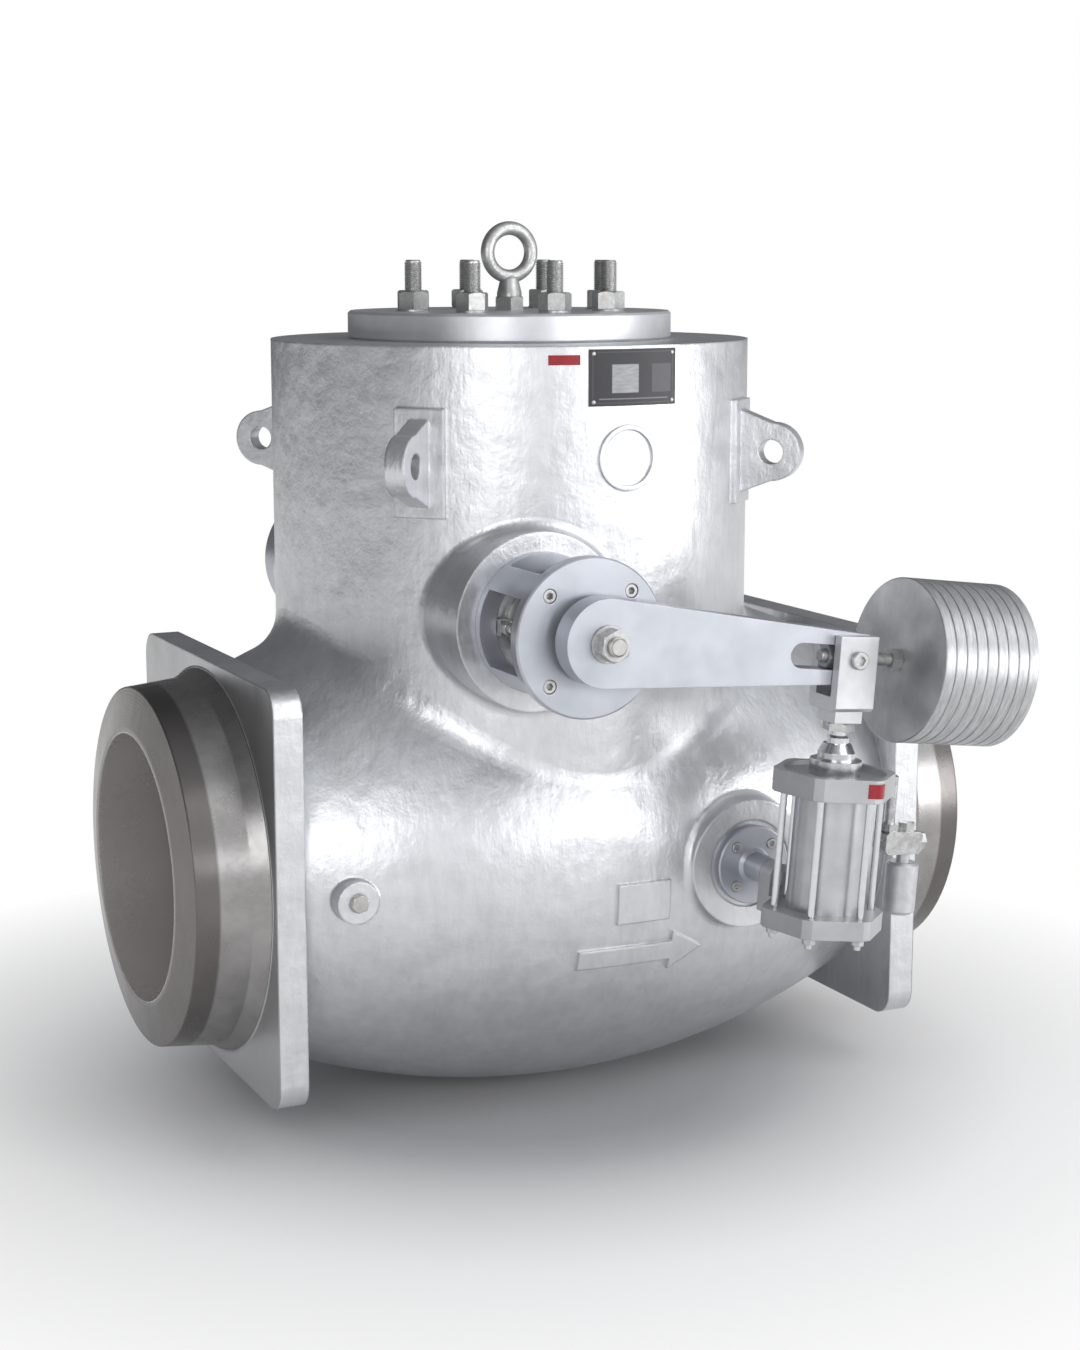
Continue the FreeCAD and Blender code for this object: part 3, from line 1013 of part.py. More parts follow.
def swivel():
    """Flanged journal on the side boss that the cylinder's foot swings on."""
    seat = "(side_boss_y - side_recess_depth)"
    near = f"({LEVER_MID} - {seat} - eye_block_far)"
    far = f"({LEVER_MID} - {seat} - eye_block_near)"
    bracket = piece("swivel_bracket", ("pivot_x", f"-{seat}", "pivot_z"), (X_AXIS, "90"))
    turned(bracket, [
        ("0", "0"), ("bracket_radius", "0"), ("bracket_radius", "bracket_thick - 2"),
        ("bracket_radius - 2", "bracket_thick"), ("bracket_neck_radius + 6", "bracket_thick"),
        ("bracket_neck_radius", "bracket_thick + 6"), ("bracket_neck_radius", f"{near} - 0.3"),
        ("bracket_journal", f"{near} - 0.3"), ("bracket_journal", f"{far} + clip_thick + 0.3"),
        ("bracket_journal - 2", f"{far} + clip_thick + 0.3"), ("bracket_journal - 2", f"{far} + clip_thick + 4"),
        ("0", f"{far} + clip_thick + 4")])
    first = on_circle("bracket_screw_circle", "45")
    places = [on_circle("bracket_screw_circle", angle) for angle in evenly("bracket_screw_count", "45")]
    bored(bracket, "XY", HERE, "bracket_screw_radius + screw_play", places, "bracket_thick")
    sink = "(bracket_screw_head_rise - 2)"
    bored(bracket, "XY", ("0", "0", f"bracket_thick - {sink}"), "bracket_screw_head + screw_play", places, sink)
    socket_screws("swivel_bracket_screws", ("pivot_x", f"-{seat} - bracket_thick + {sink}", "pivot_z"),
                  (X_AXIS, "90"), first, "bracket_screw_count", "bracket_screw_radius",
                  f"bracket_thick - {sink} + bracket_bite - 2", "bracket_screw_head", "bracket_screw_head_rise")
    clip = piece("swivel_circlip", ("pivot_x", f"-{seat} - {far} - 0.3", "pivot_z"), (X_AXIS, "90"))
    tube(clip, "bracket_journal", "clip_radius", "0", "clip_thick", "0.3")




def fittings():
    """Elbow out of the top cap, exhaust valve with its two plugs, and the silencer under it."""
    port = "(top_cap_rise + cap_thick / 2)"
    elbow = along_cylinder("air_elbow")
    arm = sketch_on(elbow, "YZ", ("0", port, "elbow_start"))
    circle(arm, "elbow_radius")
    pad(elbow, arm, "elbow_reach - elbow_start")
    turned(elbow, [
        ("0", "valve_top"), ("elbow_radius", "valve_top"), ("elbow_radius", f"{port} + elbow_radius - 3"),
        ("elbow_radius - 3", f"{port} + elbow_radius"), ("0", f"{port} + elbow_radius")],
        at=("elbow_reach", "0"))
    collar = sketch_on(elbow, "XY", ("0", "0", "valve_top"))
    hexagon(collar, "elbow_flats", "elbow_reach")
    pad(elbow, collar, "elbow_collar")
    valve = along_cylinder("exhaust_valve")
    side = sketch_on(valve, "XZ", ("0", "0", "-valve_half"))
    outline(side, [
        ("valve_near", "valve_low + valve_corner"), ("valve_near + valve_corner", "valve_low"),
        ("valve_far - valve_corner", "valve_low"), ("valve_far", "valve_low + valve_corner"),
        ("valve_far", "valve_top - valve_corner"), ("valve_far - valve_corner", "valve_top"),
        ("valve_near + valve_corner", "valve_top"), ("valve_near", "valve_top - valve_corner")])
    pad(valve, side, "2 * valve_half")
    plugs = along_cylinder("exhaust_valve_plugs", "(valve_low + valve_top) / 2")
    upper = sketch_on(plugs, "XY", ("0", "0", "(valve_top - valve_low) / 2"))
    hexagon(upper, "valve_plug_flats", "can_reach")
    pad(plugs, upper, "valve_plug_thick")
    outer = sketch_on(plugs, "YZ", ("0", "0", "valve_far"))
    hexagon(outer, "valve_plug_flats")
    pad(plugs, outer, "valve_plug_thick")
    silencer = along_cylinder("silencer", "valve_low")
    turned(silencer, [
        ("0", "-can_neck - can_length"), ("can_radius - 6", "-can_neck - can_length"),
        ("can_radius", "6 - can_neck - can_length"), ("can_radius", "-can_neck - 4"),
        ("can_radius - 4", "-can_neck"), ("can_neck_radius", "-can_neck"), ("can_neck_radius", "0"), ("0", "0")],
        at=("can_reach", "0"))


def small_parts():
    plug = piece("side_boss_plug", ("plug_boss_x", "-plug_boss_y", "0"), (X_AXIS, "90"))
    turned(plug, [("0", "3 - plug_depth"), ("plug_radius", "3 - plug_depth"), ("plug_radius", "0"), ("0", "0")])
    hex_block(plug, "plug_flats", "plug_rise", first=15)
    name = piece("nameplate", ("neck_x", "0", "0"), (Z_AXIS, "name_turn"))
    plan = sketch_on(name, "XY", ("0", "0", "name_z - name_height / 2"))
    half = "(asin(name_width / 2 / neck_radius))"
    inner = "(neck_radius + name_play)"
    outer = "(neck_radius + name_play + name_thick)"
    outline(plan, [
        (f"{inner} * cos{half}", f"-{inner} * sin{half}"), (f"{outer} * cos{half}", f"-{outer} * sin{half}"),
        (f"{outer} * cos{half}", f"{outer} * sin{half}"), (f"{inner} * cos{half}", f"{inner} * sin{half}")],
        {1: (outer, True), 3: (inner, False)})
    pad(name, plan, "name_height")


body_casting()
seat_and_disc()
hinge_arm()
shaft_and_dog()
gland()
yoke_and_plate()
blind_cover()
closure()
lever()
weights()
clevis()
cylinder()
swivel()
fittings()
small_parts()
doc.recompute()

os.makedirs("parts", exist_ok=True)
faults = [item.Name for item in doc.Objects if {"Invalid", "Error"} & set(item.State)]
faults += [item.Label for item in PIECES if item.Shape.isNull() or not item.Shape.isValid()]
if faults:
    raise RuntimeError("failed: " + ", ".join(faults))
for item in PIECES:
    item.Shape.exportStep(f"parts/{item.Label}.step")
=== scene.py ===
import math

import bmesh
import bpy
from mathutils import Matrix, Vector


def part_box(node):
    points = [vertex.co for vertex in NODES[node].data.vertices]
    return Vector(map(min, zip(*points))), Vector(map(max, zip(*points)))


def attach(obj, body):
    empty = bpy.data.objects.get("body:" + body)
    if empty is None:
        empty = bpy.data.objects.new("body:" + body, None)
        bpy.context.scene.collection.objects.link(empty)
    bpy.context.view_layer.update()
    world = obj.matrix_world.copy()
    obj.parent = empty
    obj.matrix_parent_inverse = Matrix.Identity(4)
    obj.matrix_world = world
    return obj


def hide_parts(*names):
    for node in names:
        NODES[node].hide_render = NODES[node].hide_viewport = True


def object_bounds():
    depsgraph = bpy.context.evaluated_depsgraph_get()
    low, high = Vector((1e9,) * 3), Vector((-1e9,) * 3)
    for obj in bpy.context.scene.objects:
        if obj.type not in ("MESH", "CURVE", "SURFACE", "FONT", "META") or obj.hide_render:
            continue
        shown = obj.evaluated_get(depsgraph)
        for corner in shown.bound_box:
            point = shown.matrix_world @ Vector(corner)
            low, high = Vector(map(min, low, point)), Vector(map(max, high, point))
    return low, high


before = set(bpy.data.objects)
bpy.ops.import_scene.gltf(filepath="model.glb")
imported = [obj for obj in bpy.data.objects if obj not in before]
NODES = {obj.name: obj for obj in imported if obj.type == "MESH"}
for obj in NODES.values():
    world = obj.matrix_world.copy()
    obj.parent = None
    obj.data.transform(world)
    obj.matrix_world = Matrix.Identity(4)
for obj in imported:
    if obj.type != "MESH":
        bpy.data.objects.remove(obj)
cad_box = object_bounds()


def turn(degrees, axis):
    return Matrix.Rotation(math.radians(degrees), 4, axis)


def shift(x, y, z):
    return Matrix.Translation((x, y, z))


# Metres, in the frame of the solids: X runs down the pipe, Z up the neck, and -Y is the lever's side.
SMOOTH_ANGLE = math.radians(32)
SOFT_EDGE = 0.0022
MERGE_DISTANCE = 1e-5

# The casting: its square plates, weld ends, cavity and neck.
RUN_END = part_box("body_casting")[1][0]
PLATE_FACE = 0.134
PLATE_ROOT = 0.334
BORE = 0.2308
BEVEL_DEPTH = 0.050
CAVITY_START, CAVITY_MIDDLE = 0.18, 0.60
CAVITY_NARROW, CAVITY_WIDE = 0.302, 0.405
NECK_X = sum(corner[0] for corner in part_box("bonnet_retainer")) / 2
NECK_BORE = 0.398
NECK_FOOT, NECK_TOP = 0.28, 0.884
STUD_CIRCLE = 0.184

# The lever and its shaft, and the air cylinder on its swivel pin.
SHAFT_X, SHAFT_Z = 0.562, 0.448
LEVER_Y = -0.659
LEVER_DROP = math.radians(7.1)
PIN_REACH = 0.446
FIRST_WEIGHT, WEIGHT_PITCH, WEIGHT_RIM = 0.548, 0.0205, 0.1335
PIVOT_X, PIVOT_Z = 0.950, 0.008
SWIVEL_OFFSET = 0.024
TIE_ROD_CIRCLE = 0.082
CAP_FLAT = 0.106 * math.cos(math.radians(30))
CAP_CORNER = 0.010

# The nameplate: half its width and height.
PLATE_HALF_WIDTH, PLATE_HALF_HEIGHT = 0.082, 0.046

# The photograph's viewing angle, and the lamps: place, width, height and power.
CAMERA_PLACE = (-1.0907, -3.8843, 1.0403)
CAMERA_AIM = (0.7723, 0, 0.2752)
SENSOR_HEIGHT, LENS = 36, 63.67
LAMP_AIM = (0.77, 0, 0.27)
LAMPS = {
    "front_left": ((-1.93, -3.85, 1.4), 2.2, 2.0, 47),
    "front_low": ((2.25, -4.5, 1.0), 2.4, 0.9, 33),
    "low_right": ((3.9, -2.7, 0.45), 1.8, 1.4, 40),
    "upper_right": ((2.6, -3.0, 3.3), 3.0, 2.4, 48),
}


def lever_frame():
    """Frame whose Z axis runs out along the lever from the shaft."""
    return shift(SHAFT_X, LEVER_Y, SHAFT_Z) @ Matrix.Rotation(LEVER_DROP + math.pi / 2, 4, "Y")


def cylinder_frame():
    """Frame whose Z axis is the air cylinder's, level with its swivel pin."""
    across = SHAFT_X + PIN_REACH * math.cos(LEVER_DROP) - PIVOT_X
    up = SHAFT_Z - PIN_REACH * math.sin(LEVER_DROP) - PIVOT_Z
    lean = math.atan2(across, up) - math.asin(SWIVEL_OFFSET / math.hypot(across, up))
    return shift(PIVOT_X, LEVER_Y, PIVOT_Z) @ Matrix.Rotation(lean, 4, "Y") @ shift(SWIVEL_OFFSET, 0, 0)


NECK_UP = shift(NECK_X, 0, 0)
PLATE_SEAT = shift(NECK_X, 0, 0.838) @ turn(-86, "Z")
SHAFT_OUT = shift(SHAFT_X, 0, SHAFT_Z) @ turn(90, "X")
RUN_ALONG = turn(90, "Y")
LEVER_OUT = lever_frame()
CYLINDER_UP = cylinder_frame()


class Value:
    """A number on a node's socket; arithmetic on it adds Math nodes."""

    def __init__(self, finish, socket):
        self.finish = finish
        self.socket = socket

    def __add__(self, other):
        return self.finish.sum("ADD", self, other)

    __radd__ = __add__

    def __mul__(self, other):
        return self.finish.sum("MULTIPLY", self, other)

    __rmul__ = __mul__

    def __sub__(self, other):
        return self.finish.sum("SUBTRACT", self, other)

    def __rsub__(self, other):
        return self.finish.sum("SUBTRACT", other, self)

    def __pow__(self, other):
        return self.finish.sum("POWER", self, other)

    def __abs__(self):
        return self.finish.sum("ABSOLUTE", self)

    def ramp(self, low, high, to_low=0.0, to_high=1.0):
        """This number from low to high, mapped and clamped."""
        sockets = dict(enumerate((self, low, high, to_low, to_high)))
        return self.finish.node("ShaderNodeMapRange", sockets)

    def above(self, limit, fade):
        """0 up to a limit, and 1 from a fade past it."""
        return self.ramp(limit, limit + fade)

    def below(self, limit, fade):
        """1 up to a limit, and 0 from a fade past it."""
        return self.ramp(limit + fade, limit)

    def tint(self, *stops):
        """Colour by stops of (place, colour)."""
        return self.finish.node("ShaderNodeValToRGB", {0: self}, stops=stops)


class Finish:
    """One procedural material, or the world, as a tree of nodes."""

    def __init__(self, owner, shader="Principled BSDF", **constants):
        self.owner = owner
        owner.use_nodes = True
        self.tree = owner.node_tree
        self.shader = self.tree.nodes[shader]
        self.heights = []
        for name, value in constants.items():
            self.shader.inputs[name.title()].default_value = value

    def node(self, kind, sockets=(), output=0, stops=(), **settings):
        """A node by its type: settings and stops first, then the values or links of its sockets."""
        node = self.tree.nodes.new(kind)
        for name, value in settings.items():
            setattr(node, name, value)
        for _ in stops[2:]:
            node.color_ramp.elements.new(0.5)
        for place, (position, tone) in enumerate(stops):
            element = node.color_ramp.elements[place]
            element.position = position
            element.color = (*tone, 1)
        for name, value in dict(sockets).items():
            self.feed(node.inputs[name], value)
        return Value(self, node.outputs[output])

    def feed(self, socket, value):
        """Link a value to a socket, or set a constant on it."""
        if isinstance(value, Value):
            self.tree.links.new(value.socket, socket)
        else:
            socket.default_value = value

    def set(self, name, value):
        """Feed one of the shader's sockets."""
        self.feed(self.shader.inputs[name], value)

    def sum(self, operation, *numbers):
        return self.node("ShaderNodeMath", dict(enumerate(numbers)), operation=operation)

    def larger(self, first, second):
        return self.sum("MAXIMUM", first, second)

    def smaller(self, first, second):
        return self.sum("MINIMUM", first, second)

    def place(self, scale=(1, 1, 1), base=None):
        """Object coordinates, in a base frame if one is given, and scaled."""
        here = self.node("ShaderNodeTexCoord", output="Object")
        if base:
            origin, lean, _ = base.decompose()
            here = self.node("ShaderNodeMapping", {"Vector": here, "Location": origin,
                                                   "Rotation": lean.to_euler()}, vector_type="TEXTURE")
        return self.node("ShaderNodeMapping", {"Vector": here, "Scale": scale})

    def along(self, axis, base=None):
        """The coordinate along X, Y or Z, in a base frame if one is given."""
        return self.node("ShaderNodeSeparateXYZ", {0: self.place(base=base)}, output=axis)

    def reach(self, axis, base=None):
        """Distance from X, Y or Z, in a base frame if one is given."""
        one, two = (self.along(letter, base) for letter in "XYZ" if letter != axis)
        return (one * one + two * two) ** 0.5

    def noise(self, pitch, detail=4.0, rough=0.55, stretch=(1, 1, 1), base=None):
        """Noise from 0 to 1 whose features are about a pitch apart."""
        where = self.place([value / pitch for value in stretch], base)
        return self.node("ShaderNodeTexNoise", {"Vector": where, "Scale": 1.0, "Detail": detail,
                                                "Roughness": rough})

    def cells(self, pitch):
        """Distance to the nearest of scattered points, from 0 to about 1."""
        return self.node("ShaderNodeTexVoronoi", {"Vector": self.place([1 / pitch] * 3), "Scale": 1.0})

    def rings(self, distance, pitch):
        """Fine lines a pitch apart, from -1 to 1."""
        return self.sum("SINE", distance * (2 * math.pi / pitch))

    def blend(self, mask, first, second):
        """Colour from first to second by a mask."""
        return self.node("ShaderNodeMix", {0: mask, 6: colour(first), 7: colour(second)}, output=2,
                         data_type="RGBA")

    def rise(self, field, height):
        """Bump: a field times a height in metres, added to what came before."""
        self.heights.append(field * height)

    def done(self, edge=SOFT_EDGE):
        """The material, its sharp edges softened and its bumps added up."""
        soft = self.node("ShaderNodeBevel", {"Radius": edge}, samples=4)
        total = self.heights[0]
        for height in self.heights[1:]:
            total = total + height
        self.set("Normal", self.node("ShaderNodeBump", {"Height": total, "Normal": soft, "Distance": 1.0,
                                                        "Strength": 1.0}))
        return self.owner


def colour(value):
    return value if isinstance(value, Value) else (*value, 1)


def new_finish(name, **constants):
    return Finish(bpy.data.materials.new(name), **constants)


def casting_paint():
    """Aluminium paint over a rough sand casting, with bare machined weld ends and bore, painted shade on the
    plates' outer faces and painted light in the bores.
    """
    paint = new_finish("casting_paint")
    broad = paint.noise(0.15, detail=2)
    lumps = paint.noise(0.032, detail=3)
    runs = paint.noise(0.016, detail=3, stretch=(1, 1, 0.28))
    grain = paint.noise(0.0045, detail=3)
    patches = paint.noise(0.075, detail=5, rough=0.65)
    cloud = paint.noise(0.08, detail=6, rough=0.65)
    height = paint.along("Z")
    around_run = paint.reach("X")
    from_end = RUN_END / 2 - abs(paint.along("X") - RUN_END / 2)

    # Where the plates' faces, the bare metal and the hollow are.
    plate_face = from_end.below(PLATE_FACE + 0.0006, 0.0006) * around_run.above(PLATE_ROOT, 0.003)
    weld_end = from_end.below(PLATE_FACE - 0.0015, 0.001)
    bevel = from_end.below(BEVEL_DEPTH, 0.005) * around_run.above(BORE + 0.0012, 0.001)
    cavity = from_end.ramp(CAVITY_START, CAVITY_MIDDLE, CAVITY_NARROW, CAVITY_WIDE) - around_run
    cavity = cavity.above(0, 0.001) * height.below(NECK_FOOT, 0.02) * (1 - bevel)
    in_neck = paint.reach("Z", NECK_UP).below(NECK_BORE, 0.002) * height.below(NECK_TOP, 0.002)
    inside = paint.larger(cavity, in_neck * height.above(NECK_FOOT, 0.02))
    as_cast = inside * from_end.above(CAVITY_START, 0.03)
    metal = paint.larger(weld_end, inside)
    painted = 1 - metal

    silver = (patches * 0.55 + runs * 0.45).tint(
        (0.30, (0.56, 0.57, 0.59)), (0.50, (0.63, 0.64, 0.66)), (0.70, (0.69, 0.70, 0.72)))
    speck = paint.cells(0.011).below(0.03, 0.07) * paint.noise(0.06).above(0.52, 0.12)
    silver = paint.blend(speck * 0.4, silver, (0.30, 0.30, 0.32))
    # Painted shade: the plates' outer faces are coloured a darker grey, standing in for the dark surroundings
    # they face.
    silver = paint.blend(plate_face * 0.75, silver, (0.38, 0.38, 0.385))
    steel = cloud.tint(
        (0.30, (0.26, 0.25, 0.245)), (0.52, (0.33, 0.32, 0.315)), (0.75, (0.39, 0.38, 0.38)))
    # Painted light: the machined bores near the ends are coloured far paler than the outer weld ends,
    # standing in for light reflected into them.
    steel = paint.blend((inside - as_cast) * 0.7, steel, (0.66, 0.63, 0.61))
    rust = cloud.above(0.42, 0.24) * inside * from_end.above(0.12, 0.08)
    steel = paint.blend(rust, steel, (0.25, 0.17, 0.13))
    steel = paint.blend(bevel * 0.8, steel, (0.11, 0.10, 0.095))
    paint.set("Base Color", paint.blend(metal, silver, steel))
    paint.set("Metallic", 0.82 + 0.10 * metal - 0.55 * inside)
    satin = patches.ramp(0.3, 0.7, 0.34, 0.42) - 0.03 * plate_face
    paint.set("Roughness", satin + (cloud.ramp(0.3, 0.7, 0.29, 0.24) - satin) * metal)

    tool_marks = paint.rings(from_end, 0.0011) * 0.5 + paint.noise(0.0025, stretch=(1, 0.03, 0.03))
    paint.rise(broad * painted, 0.0050)
    paint.rise(lumps * painted * (1 - plate_face), 0.0014)
    paint.rise(runs * painted * (1 - plate_face), 0.00080)
    paint.rise(grain * painted, 0.00022)
    paint.rise(lumps * as_cast, 0.0014)
    paint.rise(tool_marks * (metal - as_cast), 0.00004)
    return paint.done(edge=0.005)


def smooth_paint(name, dark, light, rough=0.34, metallic=0.65):
    """Silver paint on a plate or a turned piece."""
    paint = new_finish(name, metallic=metallic)
    patches = paint.noise(0.09, detail=4, rough=0.6)
    paint.set("Base Color", patches.tint((0.35, dark), (0.68, light)))
    paint.set("Roughness", patches.ramp(0.3, 0.7, rough - 0.04, rough + 0.07))
    paint.rise(paint.noise(0.045, detail=2), 0.0004)
    paint.rise(paint.noise(0.0025, detail=3), 0.00006)
    return paint.done()


def machined(name, base, dark, light):
    """Turned steel whose tool marks ring a base frame's Z axis."""
    steel = new_finish(name, metallic=0.9)
    marks = steel.rings(steel.reach("Z", base), 0.0016) * 0.5 + steel.noise(0.0035, detail=3) * 0.6
    stain = steel.noise(0.03, detail=5, rough=0.65)
    steel.set("Base Color", stain.tint((0.35, dark), (0.65, light)))
    steel.set("Roughness", stain.ramp(0.35, 0.65, 0.40, 0.27))
    steel.rise(marks, 0.00005)
    return steel.done(edge=0.0012)


def zinc():
    """Zinc-plated fasteners, mottled where the plating has dulled."""
    plating = new_finish("zinc_plating", metallic=0.85)
    mottle = plating.noise(0.006, detail=5, rough=0.7)
    plate = mottle.tint((0.3, (0.40, 0.40, 0.40)), (0.7, (0.58, 0.58, 0.57)))
    dirt = plating.noise(0.02).above(0.55, 0.20)
    plating.set("Base Color", plating.blend(dirt * 0.5, plate, (0.27, 0.25, 0.22)))
    plating.set("Roughness", mottle.ramp(0.3, 0.7, 0.48, 0.32))
    plating.rise(mottle, 0.00005)
    return plating.done(edge=0.001)


def anodised():
    """The cylinder's tube: drawn and anodised aluminium with faint lines along it."""
    skin = new_finish("cylinder_tube_skin", metallic=0.85)
    lines = skin.noise(0.0014, detail=3, stretch=(1, 1, 0.02), base=CYLINDER_UP)
    cloud = skin.noise(0.05, detail=3)
    skin.set("Base Color", cloud.tint((0.3, (0.44, 0.45, 0.47)), (0.7, (0.54, 0.55, 0.57))))
    skin.set("Roughness", lines.ramp(0.3, 0.7, 0.28, 0.38))
    skin.rise(lines, 0.00002)
    return skin.done(edge=0.001)


def weight_paint():
    """Painted weight plates: scuffed rims with a dark joint at each plate's edge."""
    paint = new_finish("weight_paint", metallic=0.65)
    along = paint.along("Z", LEVER_OUT)
    through = paint.sum("FRACT", (along - FIRST_WEIGHT) * (1 / WEIGHT_PITCH))
    joint = paint.smaller(through, 1 - through).below(0, 0.03)
    rim = paint.reach("Z", LEVER_OUT).above(WEIGHT_RIM, 0.001)
    scuff = paint.noise(0.030, detail=6, rough=0.7, stretch=(1, 1, 6), base=LEVER_OUT)
    silver = (scuff * rim + paint.noise(0.08) * (1 - rim)).tint(
        (0.32, (0.33, 0.335, 0.345)), (0.66, (0.52, 0.525, 0.535)))
    paint.set("Base Color", paint.blend(joint * rim * 0.35, silver, (0.16, 0.16, 0.17)))
    paint.set("Roughness", scuff.ramp(0.3, 0.7, 0.40, 0.30))
    paint.rise(scuff * rim, 0.00025)
    paint.rise(paint.noise(0.004), 0.00008)
    return paint.done(edge=0.0015)


def small_finish(name, tone, rough, metallic=0.0, depth=0.0001, spread=0.18):
    """A small piece's material with some variation of its colour."""
    skin = new_finish(name, metallic=metallic)
    cloud = skin.noise(0.012)
    dark = [channel * (1 - spread) for channel in tone]
    light = [min(1, channel * (1 + spread)) for channel in tone]
    skin.set("Base Color", cloud.tint((0.3, dark), (0.7, light)))
    skin.set("Roughness", cloud.ramp(0.3, 0.7, rough - 0.05, rough + 0.05))
    skin.rise(skin.noise(0.002, detail=3), depth)
    return skin.done(edge=0.0008)


def nameplate_black():
    """The bare black nameplate: blank silver and grey fields, a rule and a border."""
    plate = new_finish("nameplate_black")
    right = plate.along("Y", PLATE_SEAT) * (0.5 / PLATE_HALF_WIDTH) + 0.5
    down = 0.5 - plate.along("Z", PLATE_SEAT) * (0.5 / PLATE_HALF_HEIGHT)

    def field(left, upper, wide, tall):
        """A rectangle, in shares of the plate's width and height from its upper left corner."""
        across = abs(right - (left + wide / 2)).below(wide / 2 - 0.004, 0.008)
        return across * abs(down - (upper + tall / 2)).below(tall / 2 - 0.008, 0.016)

    border = field(0.03, 0.045, 0.94, 0.91) - field(0.039, 0.061, 0.922, 0.878)
    rule = field(0.10, 0.865, 0.80, 0.018)
    silver = field(0.24, 0.27, 0.30, 0.50)
    grey = field(0.70, 0.27, 0.24, 0.50)
    scuff = plate.noise(0.006, detail=5, rough=0.7)
    tone = scuff.tint((0.3, (0.006, 0.006, 0.009)), (0.75, (0.020, 0.020, 0.025)))
    tone = plate.blend(plate.larger(grey, border * 0.8), tone, (0.07, 0.07, 0.08))
    tone = plate.blend(rule * 0.7, tone, (0.32, 0.32, 0.34))
    brushed = plate.noise(0.02, stretch=(1, 1, 6), base=PLATE_SEAT).tint(
        (0.3, (0.26, 0.27, 0.28)), (0.7, (0.42, 0.43, 0.45)))
    plate.set("Base Color", plate.blend(silver, tone, brushed))
    plate.set("Roughness", scuff.ramp(0.3, 0.7, 0.36, 0.48))
    plate.rise(silver, -0.0001)
    plate.rise(scuff, 0.00003)
    return plate.done(edge=0.0008)


def dress(material, *nodes):
    """Give nodes of the frame a material."""
    for name in nodes:
        mesh = NODES[name].data
        mesh.materials.clear()
        mesh.materials.append(material)


def finishes():
    """Dress every node of the frame, and return the fasteners' plating."""
    dress(casting_paint(), "body_casting")
    dress(smooth_paint("lever_paint", (0.44, 0.46, 0.50), (0.50, 0.52, 0.57)),
          "lever_arm", "gland_yoke", "shaft_end_plate", "swivel_bracket", "blind_cover")
    dress(weight_paint(), "counterweight_plates")
    dress(smooth_paint("retainer_paint", (0.60, 0.61, 0.64), (0.72, 0.73, 0.75), rough=0.38),
          "bonnet_retainer")
    dress(machined("plug_steel", NECK_UP, (0.30, 0.29, 0.28), (0.44, 0.43, 0.42)),
          "bonnet_plug", "spacer_ring", "segment_ring", "seal_ring")
    dress(machined("shaft_steel", SHAFT_OUT, (0.36, 0.35, 0.34), (0.52, 0.51, 0.50)),
          "hinge_shaft", "shaft_dog", "dog_key", "gland_follower", "lever_side_bushing",
          "blind_side_bushing", "side_boss_plug")
    dress(machined("disc_steel", RUN_ALONG, (0.32, 0.31, 0.30), (0.48, 0.47, 0.46)),
          "seat_ring", "disc", "disc_washer", "disc_nut", "disc_lock_pin", "hinge_arm")
    plating = zinc()
    dress(plating, "gland_studs", "gland_nuts", "yoke_screws", "blind_cover_bolts", "bonnet_washers",
          "bonnet_nuts", "eye_bolt", "eye_bolt_nut", "shaft_end_washer", "shaft_end_nut",
          "weight_rod_nuts", "clevis_screws", "clevis_jam_nut", "tie_rod_nuts",
          "swivel_bracket_screws", "swivel_circlip", "bonnet_studs", "weight_rod")
    dress(smooth_paint("clevis_steel", (0.55, 0.56, 0.58), (0.68, 0.69, 0.71), rough=0.30,
                       metallic=0.75), "clevis")
    dress(small_finish("chrome", (0.66, 0.67, 0.69), 0.16, metallic=1.0, depth=0.000006,
                       spread=0.04), "piston_rod", "tie_rods")
    dress(anodised(), "cylinder_tube", "piston")
    dress(smooth_paint("cap_paint", (0.40, 0.41, 0.42), (0.48, 0.49, 0.50), rough=0.42,
                       metallic=0.55), "cylinder_top_cap", "cylinder_bottom_cap")
    dress(small_finish("gland_alloy", (0.56, 0.57, 0.58), 0.24, metallic=0.95, depth=0.000015,
                       spread=0.08), "cylinder_rod_gland")
    dress(small_finish("nickel", (0.46, 0.46, 0.46), 0.26, metallic=0.95, depth=0.000025),
          "air_elbow", "exhaust_valve", "exhaust_valve_plugs")
    dress(small_finish("silencer_alloy", (0.52, 0.52, 0.54), 0.40, metallic=0.7, depth=0.00003,
                       spread=0.08), "silencer")
    dress(small_finish("graphite", (0.05, 0.05, 0.055), 0.6), "packing_rings", "blind_cover_gasket")
    dress(nameplate_black(), "nameplate")
    return plating


def shade(mesh):
    """Smooth shading with the sharp edges kept."""
    mesh.shade_smooth()
    mesh.set_sharp_from_angle(angle=SMOOTH_ANGLE)


def new_piece(name, build, material, body, replaces=()):
    """A closed piece from bmesh operations, riding on a body of the frame."""
    form = bmesh.new()
    build(form)
    bmesh.ops.remove_doubles(form, verts=form.verts, dist=MERGE_DISTANCE)
    bmesh.ops.recalc_face_normals(form, faces=form.faces)
    mesh = bpy.data.meshes.new(name)
    form.to_mesh(mesh)
    form.free()
    shade(mesh)
    piece = bpy.data.objects.new(name, mesh)
    bpy.context.collection.objects.link(piece)
    mesh.materials.append(material)
    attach(piece, body)
    if replaces:
        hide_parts(*replaces)


def drawn(form, base, points):
    """Points (x, y, z) of a base frame as vertices."""
    return [form.verts.new(base @ Vector(point)) for point in points]


def turned(form, profile, base, steps):
    """Turn a profile of (radius, height) about a base frame's Z axis."""
    corners = drawn(form, base, [(radius, 0, height) for radius, height in profile])
    sides = [form.edges.new(pair) for pair in zip(corners, corners[1:])]
    bmesh.ops.spin(form, geom=corners + sides, cent=base.translation, axis=base.col[2].to_3d(),
                   angle=2 * math.pi, steps=steps, use_merge=True)


